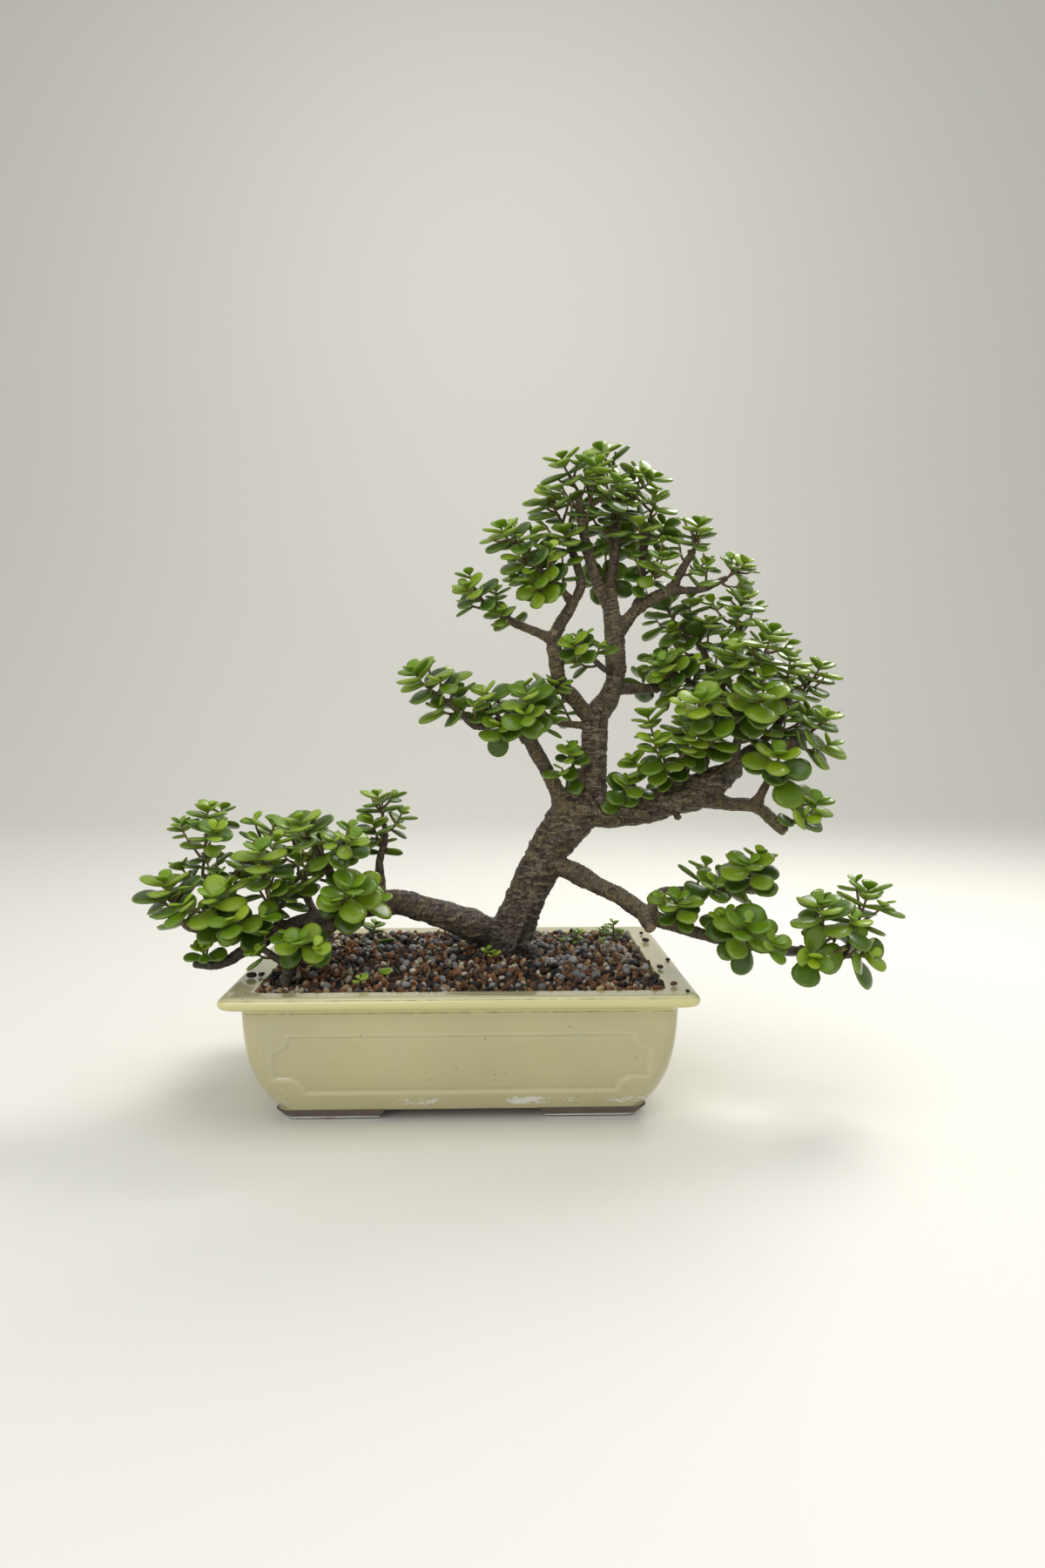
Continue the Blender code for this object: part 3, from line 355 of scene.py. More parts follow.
def new_group(name, inputs, outputs):
    """A shader node group with float inputs (name, value) and named outputs, and its two end nodes."""
    group = bpy.data.node_groups.new(name, "ShaderNodeTree")
    for socket, value in inputs:
        made = group.interface.new_socket(socket, in_out="INPUT", socket_type="NodeSocketFloat")
        made.default_value = value
    for socket, kind in outputs:
        group.interface.new_socket(socket, in_out="OUTPUT", socket_type=kind)
    return group, group.nodes.new("NodeGroupInput"), group.nodes.new("NodeGroupOutput")


def fine_speckle_group():
    """Scattered dots: a mask that is 1 in each dot, for specks in glaze, clay, grains and leaves."""
    group, start, end = new_group(
        "fine_speckle", [("Dots per metre", 300.0), ("Dot size", 0.2), ("How many", 0.3)],
        [("Mask", "NodeSocketFloat")])
    place = add_node(group, "ShaderNodeTexCoord").outputs["Object"]
    cells = add_node(group, "ShaderNodeTexVoronoi",
                     {"Vector": place, "Scale": start.outputs[0], "Randomness": 1.0},
                     feature="F1")
    dot = math_node(group, "LESS_THAN", cells.outputs["Distance"], start.outputs[1])
    chosen = add_node(group, "ShaderNodeSeparateColor", {0: cells.outputs["Color"]}).outputs[0]
    kept = math_node(group, "LESS_THAN", chosen, start.outputs[2])
    group.links.new(times(group, dot, kept), end.inputs[0])
    return group


def patches_group():
    """Cloudy patches from 0 to 1 in the object's own space, for glaze, clay, bark and leaves."""
    group, start, end = new_group(
        "soft_patches", [("Patches per metre", 60.0), ("Detail", 4.0), ("Contrast", 1.0), ("Shift", 0.0)],
        [("Mask", "NodeSocketFloat")])
    place = add_node(group, "ShaderNodeTexCoord").outputs["Object"]
    moved = add_node(group, "ShaderNodeVectorMath", {0: place, 1: start.outputs[3]},
                     operation="ADD").outputs[0]
    cloud = add_node(group, "ShaderNodeTexNoise", {"Vector": moved, "Scale": start.outputs[0],
                                                   "Detail": start.outputs[1], "Roughness": 0.6})
    centred = math_node(group, "SUBTRACT", cloud.outputs[0], 0.5)
    spread = times(group, centred, start.outputs[2])
    group.links.new(plus(group, spread, 0.5, clamp=True), end.inputs[0])
    return group


def lime_group():
    """Hard-water lime: a broken crust that lies in a band of heights."""
    group, start, end = new_group(
        "lime_crust", [("Low", 0.008), ("High", 0.015), ("Cover", 0.5)], [("Mask", "NodeSocketFloat")])
    place = add_node(group, "ShaderNodeTexCoord").outputs["Object"]
    height = add_node(group, "ShaderNodeSeparateXYZ", {0: place}).outputs[2]
    middle = times(group, plus(group, start.outputs[0], start.outputs[1]), 0.5)
    half = times(group, math_node(group, "SUBTRACT", start.outputs[1], start.outputs[0]), 0.5)
    away = math_node(group, "DIVIDE",
                     math_node(group, "ABSOLUTE", math_node(group, "SUBTRACT", height, middle)), half)
    band = map_range(group, away, 1.0, 0.35)
    stretched = add_node(group, "ShaderNodeVectorMath", {0: place, 1: (1.0, 1.0, 2.2)},
                         operation="MULTIPLY").outputs[0]
    flakes = add_node(group, "ShaderNodeTexNoise",
                      {"Vector": stretched, "Scale": 260.0, "Detail": 8.0, "Roughness": 0.75})
    runs = add_node(group, "ShaderNodeTexNoise", {"Vector": place, "Scale": 47.0, "Detail": 2.0})
    level = plus(group, times(group, flakes.outputs[0], 0.75),
                      times(group, runs.outputs[0], 0.55))
    level = plus(group, level, times(group, band, 0.35))
    level = plus(group, level, times(group, start.outputs[2], 0.3))
    crust = map_range(group, level, 1.12, 1.20)
    group.links.new(times(group, crust, map_range(group, band, 0.0, 0.2)), end.inputs[0])
    return group


def place_group(tree, group, **values):
    return add_node(tree, "ShaderNodeGroup",
                    {name.replace("_", " "): value for name, value in values.items()},
                    node_tree=group).outputs[0]


def cloudy(tree, per_metre, detail, contrast, shift):
    return place_group(tree, patches, Patches_per_metre=per_metre, Detail=detail, Contrast=contrast,
                       Shift=shift)


def dotted(tree, per_metre, size, how_many):
    return place_group(tree, speckle, Dots_per_metre=per_metre, Dot_size=size, How_many=how_many)


def tinge(tree, base, mask, share, rgb):
    """The base colour with a share of another laid on where the mask says."""
    return mix_colour(tree, times(tree, mask, share), base, colour(*rgb))


def add_bump(tree, shader, strength, distance, height):
    bump = add_node(tree, "ShaderNodeBump",
                    {"Strength": strength, "Distance": distance, "Height": height})
    tree.links.new(bump.outputs[0], shader.inputs["Normal"])


def new_material(name, roughness, **settings):
    """A material and its tree, with plain numbers set on the shader's own sockets."""
    made = bpy.data.materials.new(name)
    made.use_nodes = True
    tree = made.node_tree
    shader = tree.nodes["Principled BSDF"]
    shader.inputs["Roughness"].default_value = roughness
    for socket, value in settings.items():
        shader.inputs[socket.replace("_", " ")].default_value = value
    return made, tree, shader


speckle = fine_speckle_group()
patches = patches_group()
lime = lime_group()


def cream_glaze():
    made, tree, shader = new_material("olive_cream_glaze", 0.2, IOR=1.52, Coat_Weight=0.6,
                                      Coat_Roughness=0.05)
    clouds = cloudy(tree, 22.0, detail=3.0, contrast=1.6, shift=0.0)
    grain = cloudy(tree, 900.0, detail=2.0, contrast=1.2, shift=0.3)
    base = mix_colour(tree, clouds, colour(0.455, 0.425, 0.225), colour(0.535, 0.505, 0.300))
    base = tinge(tree, base, grain, 0.25, (0.40, 0.375, 0.21))
    yellow = cloudy(tree, 15.0, detail=3.0, contrast=2.6, shift=0.37)
    base = tinge(tree, base, yellow, 0.34, (0.560, 0.490, 0.190))
    grey = cloudy(tree, 19.0, detail=3.0, contrast=2.4, shift=1.11)
    base = tinge(tree, base, grey, 0.35, (0.440, 0.405, 0.270))
    place = add_node(tree, "ShaderNodeTexCoord").outputs["Object"]
    height = add_node(tree, "ShaderNodeSeparateXYZ", {0: place}).outputs[2]
    pooled = map_range(tree, height, LIP_BOTTOM - 2.5 * MM, LIP_BOTTOM + 1.0 * MM)
    worn = map_range(tree, height, POT_TOP - 1.4 * MM, POT_TOP - 0.1 * MM)
    pooled = times(tree, pooled, math_node(tree, "MULTIPLY_ADD", worn, -0.75, 1.0))
    base = tinge(tree, base, pooled, 0.70, (0.700, 0.655, 0.300))
    base = tinge(tree, base, worn, 0.45, (0.340, 0.315, 0.170))
    line_breaks = cloudy(tree, 130.0, detail=4.0, contrast=3.0, shift=0.8)
    # Two thin dark lines broken up by noise: one on the rounded edges of the lip's top, and one in the crease
    # under the lip, which is painted shade.
    for line, half in ((POT_TOP - 1.25 * MM, 0.45 * MM), (LIP_BOTTOM - 0.5 * MM, 0.8 * MM)):
        apart = math_node(tree, "ABSOLUTE", math_node(tree, "SUBTRACT", height, line))
        thread = times(tree, map_range(tree, apart, half, half * 0.2),
                       math_node(tree, "MULTIPLY_ADD", line_breaks, 0.6, 0.1))
        base = mix_colour(tree, thread, base, colour(0.165, 0.135, 0.060))
    # Pale where the edge attribute is marked: partly glaze running thin, partly a painted highlight.
    thin_glaze_and_highlight = attribute(tree, "edge")
    base = mix_colour(tree, math_node(tree, "MULTIPLY", thin_glaze_and_highlight, 0.36, clamp=True), base,
                      colour(0.70, 0.68, 0.45))
    dark = dotted(tree, 210.0, size=0.085, how_many=0.34)
    tiny = dotted(tree, 520.0, size=0.13, how_many=0.10)
    base = tinge(tree, base, dark, 0.8, (0.10, 0.075, 0.04))
    base = tinge(tree, base, tiny, 0.35, (0.22, 0.18, 0.10))
    crust = place_group(tree, lime, Low=0.0072, High=0.0162, Cover=0.31)
    base = tinge(tree, base, crust, 0.8, (0.78, 0.78, 0.74))
    tree.links.new(base, shader.inputs["Base Color"])
    rough = plus(tree, times(tree, grain, 0.12), 0.16)
    rough = plus(tree, rough, times(tree, crust, 0.55))
    tree.links.new(rough, shader.inputs["Roughness"])
    height = plus(tree, times(tree, crust, 1.2), times(tree, grain, 0.12))
    height = math_node(tree, "SUBTRACT", height, times(tree, dark, 0.5))
    add_bump(tree, shader, 0.35, 0.0004, height)
    return made


def bare_clay():
    made, tree, shader = new_material("bare_foot_clay", 0.85)
    clouds = cloudy(tree, 120.0, detail=5.0, contrast=1.8, shift=0.1)
    grain = dotted(tree, 900.0, size=0.3, how_many=0.35)
    base = mix_colour(tree, clouds, colour(0.105, 0.082, 0.062), colour(0.165, 0.135, 0.105))
    base = tinge(tree, base, grain, 0.35, (0.06, 0.045, 0.035))
    crust = place_group(tree, lime, Low=0.0002, High=0.0022, Cover=0.95)
    base = mix_colour(tree, crust, base, colour(0.80, 0.79, 0.76))
    tree.links.new(base, shader.inputs["Base Color"])
    height = plus(tree, clouds, plus(tree, grain, crust))
    add_bump(tree, shader, 0.5, 0.0003, height)
    return made


pot = build_pot()
pot.data.materials.append(cream_glaze())
pot.data.materials.append(bare_clay())
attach(pot, "root")
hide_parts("pot")


# ---------------------------------------------------------------- drain screens and clips
# Squares of black plastic mesh lie over the two drain holes, so that the soil stays in. Bent
# copper wires hold them down. Both stay as the frame has them and only get their finish.
def screen_plastic():
    made, tree, shader = new_material("black_screen_plastic", 0.55)
    clouds = cloudy(tree, 300.0, detail=3.0, contrast=1.5, shift=0.0)
    tree.links.new(mix_colour(tree, clouds, colour(0.012, 0.012, 0.013), colour(0.035, 0.034, 0.033)),
                   shader.inputs["Base Color"])
    tree.links.new(math_node(tree, "MULTIPLY_ADD", clouds, 0.3, 0.42), shader.inputs["Roughness"])
    return made


def clip_copper():
    made, tree, shader = new_material("dull_clip_copper", 0.4, Metallic=1.0)
    clouds = cloudy(tree, 500.0, detail=4.0, contrast=1.8, shift=0.2)
    tree.links.new(mix_colour(tree, clouds, colour(0.42, 0.20, 0.11), colour(0.16, 0.11, 0.07)),
                   shader.inputs["Base Color"])
    tree.links.new(math_node(tree, "MULTIPLY_ADD", clouds, 0.35, 0.25), shader.inputs["Roughness"])
    return made


for finish, nodes in ((screen_plastic(), ("drain_screen_left", "drain_screen_right")),
                      (clip_copper(), ("screen_clip_left", "screen_clip_right"))):
    for node in nodes:
        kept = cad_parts[node]
        kept.data.materials.clear()
        kept.data.materials.append(finish)


# ---------------------------------------------------------------- soil
# A gritty mix for succulents: dark fines, filled over with round grey clay pellets, red-brown and
# ochre crumbs of fired clay, pale pumice pebbles and black bits of lava. The fines are coloured
# near black, partly their own colour and partly painted shade in the gaps between grains. It is
# heaped a little round the trunk, and the grey pellets have been washed together behind it and on
# its right.
SOIL_LEVEL = POT_TOP - 1.5 * MM
RIM_WIDTH = 15.0 * MM
SOIL_X = RIM_X - RIM_WIDTH
SOIL_Y = RIM_Y - RIM_WIDTH
SOIL_EDGE = 0.9 * MM
GRAIN_BED = 1.5 * MM
MOUND_HEIGHT = 5.0 * MM


def soil_height(x, y):
    """The height of the soil's surface: level at the wall and mounded towards the trunk."""
    edge = np.clip(np.minimum(3.0 * (1 - np.abs(x) / SOIL_X), 3.0 * (1 - np.abs(y) / SOIL_Y)), 0.0, 1.0)
    mound = np.exp(-((x - 0.010) / 0.070) ** 2 - ((y - 0.015) / 0.055) ** 2)
    back = 0.4 * np.exp(-((x + 0.050) / 0.045) ** 2 - ((y - 0.035) / 0.035) ** 2)
    ripple = 0.6 * MM * np.sin(x * 95 + 1.0) * np.cos(y * 120)
    return SOIL_LEVEL + edge * (MOUND_HEIGHT * np.minimum(1.0, mound + back) + ripple)


def build_soil_bed():
    """The dark fines under the grains, as one closed block whose top is a fine grid. Their near-black
    colour is partly painted shade in the gaps between grains.
    """
    across, deep = 105, 75
    half_x, half_y = SOIL_X - SOIL_EDGE, SOIL_Y - SOIL_EDGE
    xs, ys = np.linspace(-half_x, half_x, across), np.linspace(-half_y, half_y, deep)
    points, zone = [], []
    for y in ys:
        for x in xs:
            spot = np.array([[x, y, 0.0]])
            rough = (lattice(spot, 5 * MM, 11)[0] - 0.5) * 1.4 * MM
            points.append((x + POT_X, y, float(soil_height(x, y)) - GRAIN_BED + rough))
            right = math.exp(-((x - 0.062) / 0.030) ** 2 - ((y - 0.016) / 0.040) ** 2)
            left = 0.55 * math.exp(-((x + 0.035) / 0.030) ** 2 - ((y - 0.022) / 0.030) ** 2)
            zone.append(min(1.0, right + left))
    faces = [(r * across + c, r * across + c + 1, (r + 1) * across + c + 1, (r + 1) * across + c)
             for r in range(deep - 1) for c in range(across - 1)]
    rim = ([c for c in range(across)] + [r * across + across - 1 for r in range(1, deep)]
           + [(deep - 1) * across + c for c in range(across - 2, -1, -1)]
           + [r * across for r in range(deep - 2, 0, -1)])
    previous = rim
    for z in (62.0, 40.0, 24.0, 13.6):
        ring = []
        for index in rim:
            x, y, _ = points[index]
            ring.append(len(points))
            inset = (body_inset(min(z * MM, LIP_BOTTOM)) + WALL - RIM_WIDTH + 0.8 * MM)
            points.append((POT_X + (x - POT_X) * (1 - max(inset, 0.0) / SOIL_X),
                           y * (1 - max(inset, 0.0) / SOIL_Y), z * MM))
            zone.append(0.0)
        for k in range(len(rim)):
            j = (k + 1) % len(rim)
            faces.append((previous[k], ring[k], ring[j], previous[j]))
        previous = ring
    faces.append(tuple(previous[::-1]))
    return mesh_object("soil_fines", points, faces, grey_zone=zone)


def grain_shape(name, stretch, roughness, seed):
    """One grain of unit size with 24 faces, to be placed many times."""
    bm = bmesh.new()
    bmesh.ops.create_cube(bm, size=1.0)
    bmesh.ops.subdivide_edges(bm, edges=bm.edges, cuts=1, use_grid_fill=True)
    points = np.array([v.co.normalized() for v in bm.verts]) * 0.5
    lumps = 1 + roughness * (lattice(points + 3.0, 0.35, seed) - 0.5) * 2
    for vert, point, lump in zip(bm.verts, points, lumps):
        vert.co = Vector(point * lump * np.array(stretch))
    mesh = bpy.data.meshes.new(name)
    bm.to_mesh(mesh)
    bm.free()
    mesh.shade_smooth()
    obj = new_object(name, mesh)
    obj.hide_render = True
    return obj


def random_value(tree, kind, low, high, seed):
    """A random number, or a random vector, for each point."""
    if kind == "FLOAT_VECTOR":
        return add_node(tree, "FunctionNodeRandomValue", {0: low, 1: high, 8: seed},
                        data_type=kind).outputs[0]
    return add_node(tree, "FunctionNodeRandomValue", {2: low, 3: high, 8: seed},
                    data_type=kind).outputs[1]


def new_geometry_tree(name, inputs):
    """A geometry tree with a Geometry input, then the given inputs, and its two end nodes."""
    tree = bpy.data.node_groups.new(name, "GeometryNodeTree")
    tree.interface.new_socket("Geometry", in_out="INPUT", socket_type="NodeSocketGeometry")
    tree.interface.new_socket("Geometry", in_out="OUTPUT", socket_type="NodeSocketGeometry")
    for socket, kind in inputs:
        tree.interface.new_socket(socket, in_out="INPUT", socket_type=kind)
    return tree, tree.nodes.new("NodeGroupInput"), tree.nodes.new("NodeGroupOutput")


def scatter_tree():
    """Grains on a surface: all kinds share one even spread of spots, each taking its share."""
    tree, start, end = new_geometry_tree("scattered_grains", [
        ("Grain", "NodeSocketObject"), ("Least gap", "NodeSocketFloat"),
        ("Share from", "NodeSocketFloat"), ("Share to", "NodeSocketFloat"),
        ("Zone from", "NodeSocketFloat"), ("Zone to", "NodeSocketFloat"),
        ("Smallest", "NodeSocketFloat"), ("Largest", "NodeSocketFloat"), ("Lift", "NodeSocketFloat"),
        ("Seed", "NodeSocketInt"), ("Finish", "NodeSocketMaterial")])
    take = {socket.name: socket for socket in start.outputs}
    spots = add_node(tree, "GeometryNodeDistributePointsOnFaces", {
        "Mesh": take["Geometry"], "Distance Min": take["Least gap"], "Density Max": 2.0e5,
        "Density Factor": 1.0,
        "Seed": take["Seed"]}, distribute_method="POISSON")
    up = add_node(tree, "ShaderNodeSeparateXYZ", {0: spots.outputs["Normal"]}).outputs[2]
    on_top = add_node(tree, "FunctionNodeCompare", {0: up, 1: 0.45}, data_type="FLOAT",
                      operation="GREATER_THAN").outputs[0]
    zone = add_node(tree, "GeometryNodeInputNamedAttribute", {"Name": "grey_zone"},
                    data_type="FLOAT").outputs[0]
    draw = random_value(tree, "FLOAT", 0.0, 1.0, 7)
    low = plus(tree, take["Share from"], times(tree, take["Zone from"], zone))
    high = plus(tree, take["Share to"], times(tree, take["Zone to"], zone))
    above = add_node(tree, "FunctionNodeCompare", {0: draw, 1: low}, data_type="FLOAT",
                     operation="GREATER_EQUAL").outputs[0]
    below = add_node(tree, "FunctionNodeCompare", {0: draw, 1: high}, data_type="FLOAT",
                     operation="LESS_THAN").outputs[0]
    mine = add_node(tree, "FunctionNodeBooleanMath", {0: above, 1: below}, operation="AND").outputs[0]
    mine = add_node(tree, "FunctionNodeBooleanMath", {0: mine, 1: on_top}, operation="AND").outputs[0]
    raised = add_node(tree, "ShaderNodeCombineXYZ",
                      {2: plus(tree, take["Lift"],
                               random_value(tree, "FLOAT", -0.5 * MM, 0.9 * MM, 5))}).outputs[0]
    placed = add_node(tree, "GeometryNodeSetPosition",
                      {"Geometry": spots.outputs["Points"], "Offset": raised})
    shape = add_node(tree, "GeometryNodeObjectInfo", {"Object": take["Grain"]}).outputs["Geometry"]
    turn = random_value(tree, "FLOAT_VECTOR", (0, 0, 0), (6.28, 6.28, 6.28), 3)
    size = random_value(tree, "FLOAT", take["Smallest"], take["Largest"], 4)
    squash = random_value(tree, "FLOAT_VECTOR", (0.82, 0.82, 0.74), (1.12, 1.05, 1.0), 6)
    scale = add_node(tree, "ShaderNodeVectorMath", {0: squash, "Scale": size},
                     operation="SCALE").outputs[0]
    grains = add_node(tree, "GeometryNodeInstanceOnPoints", {
        "Points": placed.outputs[0], "Selection": mine, "Instance": shape, "Rotation": turn,
        "Scale": scale})
    tinted = add_node(tree, "GeometryNodeStoreNamedAttribute", {
        "Geometry": grains.outputs[0], "Name": "tint", "Value": random_value(tree, "FLOAT", 0.0, 1.0, 9)},
        data_type="FLOAT", domain="INSTANCE")
    solid = add_node(tree, "GeometryNodeRealizeInstances", {"Geometry": tinted.outputs[0]})
    painted = add_node(tree, "GeometryNodeSetMaterial",
                       {"Geometry": solid.outputs[0], "Material": take["Finish"]})
    tree.links.new(painted.outputs[0], end.inputs[0])
    return tree


def grow(name, source, tree, **values):
    """Runs a geometry tree on a copy of source and returns the plain mesh that it makes."""
    helper = new_object(name + "_source", source.data)
    modifier = helper.modifiers.new("grown", "NODES")
    modifier.node_group = tree
    names = {item.name: item.identifier for item in tree.interface.items_tree if item.in_out == "INPUT"}
    for key, value in values.items():
        modifier[names[key.replace("_", " ")]] = value
    graph = bpy.context.evaluated_depsgraph_get()
    mesh = bpy.data.meshes.new_from_object(helper.evaluated_get(graph), depsgraph=graph)
    mesh.name = name
    bpy.data.objects.remove(helper)
    return new_object(name, mesh)


def grain_finish(name, dark, light, roughness, freckle, freckle_share):
    """A grain's dull mineral finish: a tint of its own for each grain, mottled and freckled."""
    made, tree, shader = new_material(name, roughness)
    tint = attribute(tree, "tint")
    mottle = cloudy(tree, 650.0, detail=3.0, contrast=2.0, shift=0.4)
    base = mix_colour(tree, tint, colour(*dark), colour(*light))
    base = mix_colour(tree, times(tree, mottle, 0.6), base, colour(*[c * 0.45 for c in dark]))
    dots = dotted(tree, 1500.0, size=0.32, how_many=freckle_share)
    base = mix_colour(tree, times(tree, dots, 0.6), base, colour(*freckle))
    tree.links.new(base, shader.inputs["Base Color"])
    add_bump(tree, shader, 0.6, 0.0003, plus(tree, mottle, dots))
    return made


soil_bed = build_soil_bed()
# Near black: partly the fines' own colour, partly painted shade between the grains.
soil_bed.data.materials.append(grain_finish(
    "near_black_fines_and_shade", (0.012, 0.008, 0.006), (0.028, 0.019, 0.013), 0.9, (0.12, 0.06, 0.03), 0.3))
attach(soil_bed, "root")
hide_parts("soil")

grains_on = scatter_tree()
pellet, crumb, pebble = (grain_shape("pellet_shape", (1, 1, 0.95), 0.05, 1),
                         grain_shape("crumb_shape", (1.15, 0.9, 0.75), 0.42, 2),
                         grain_shape("pebble_shape", (1.2, 0.95, 0.75), 0.14, 5))
grain_kinds = (
    ("grey_pellets", pellet, 0.00, 0.045, 0.0, 0.36, 3.9, 5.7,
     grain_finish("blue_grey_pellet", (0.110, 0.112, 0.116), (0.42, 0.42, 0.425), 0.65,
                  (0.06, 0.06, 0.065), 0.25)),
    ("red_brown_crumbs", crumb, 0.045, 0.50, 0.36, 0.20, 2.4, 5.0,
     grain_finish("red_brown_fired_clay", (0.018, 0.009, 0.006), (0.310, 0.135, 0.052), 0.85,
                  (0.30, 0.17, 0.08), 0.2)),
    ("ochre_crumbs", crumb, 0.50, 0.64, 0.20, 0.12, 2.3, 4.4,
     grain_finish("ochre_brown_clay", (0.120, 0.070, 0.030), (0.520, 0.370, 0.190), 0.8,
                  (0.10, 0.05, 0.02), 0.3)),
    ("pale_pebbles", pebble, 0.64, 0.79, 0.12, 0.06, 2.4, 4.5,
     grain_finish("pale_pumice", (0.27, 0.22, 0.14), (0.74, 0.69, 0.56), 0.5, (0.34, 0.24, 0.12), 0.3)),
    ("black_bits", crumb, 0.79, 1.01, 0.06, 0.0, 2.6, 4.9,
     grain_finish("black_lava", (0.006, 0.005, 0.005), (0.026, 0.021, 0.018), 0.7, (0.06, 0.05, 0.04),
                  0.2)),
)
for name, shape, low, high, zone_low, zone_high, least, most, finish in grain_kinds:
    for layer_name, gap, lift, seed in (("", 3.0, 0.6, 12), ("_on_top", 7.0, 2.2, 31)):
        grains = grow(name + layer_name, soil_bed, grains_on, Grain=shape, Least_gap=gap * MM,
                      Share_from=low, Share_to=high, Zone_from=zone_low, Zone_to=zone_high,
                      Smallest=least * MM, Largest=most * MM, Lift=lift * MM, Seed=seed, Finish=finish)
        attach(grains, "root")

# A few grains lie spilt on the rim: (kind, x, y, size) in millimetres.
stray_rows = ((crumb, -112, -47, 4.6), (crumb, -107.5, -44, 3.4), (crumb, 111, 38, 4.0),
              (pebble, 116, -14, 2.6), (crumb, 108.5, -33, 3.4), (crumb, 109.5, -70, 3.2),
              (crumb, 112, 62, 2.6), (pebble, -111, 24, 2.4), (crumb, 40, 84, 3.0),
              (crumb, -64, 82.5, 3.4), (pellet, 18, 83, 3.8), (crumb, 114, -84, 2.2))
stray_points, stray_faces, stray_tints = [], [], []
for number, (shape, x, y, size) in enumerate(stray_rows):
    turned = Matrix.Rotation(number * 1.3, 3, "Z")
    base = len(stray_points)
    for vert in shape.data.vertices:
        at = turned @ vert.co * size * MM
        stray_points.append((POT_X + x * MM + at.x, y * MM + at.y, POT_TOP + at.z + size * 0.34 * MM))
        stray_tints.append((number * 0.37) % 1.0)
    stray_faces += [tuple(base + k for k in face.vertices) for face in shape.data.polygons]
stray_grains = mesh_object("stray_grains", stray_points, stray_faces, tint=stray_tints)
stray_grains.data.materials.append(grain_finish(
    "spilt_dark_crumb", (0.018, 0.010, 0.008), (0.140, 0.055, 0.030), 0.85, (0.20, 0.12, 0.06), 0.2))
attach(stray_grains, "root")
for shape in (pellet, crumb, pebble):
    bpy.data.objects.remove(shape)


# ---------------------------------------------------------------- trunk and branches
# The wood grew as one piece. The trunk is mottled plum and grey-brown and leans to a swollen
# knuckle, from which a heavy limb, a leader and long low limbs leave. Succulent bark has no
# plates: it wrinkles in fine rings across each limb, flakes a little, and shows every old node.

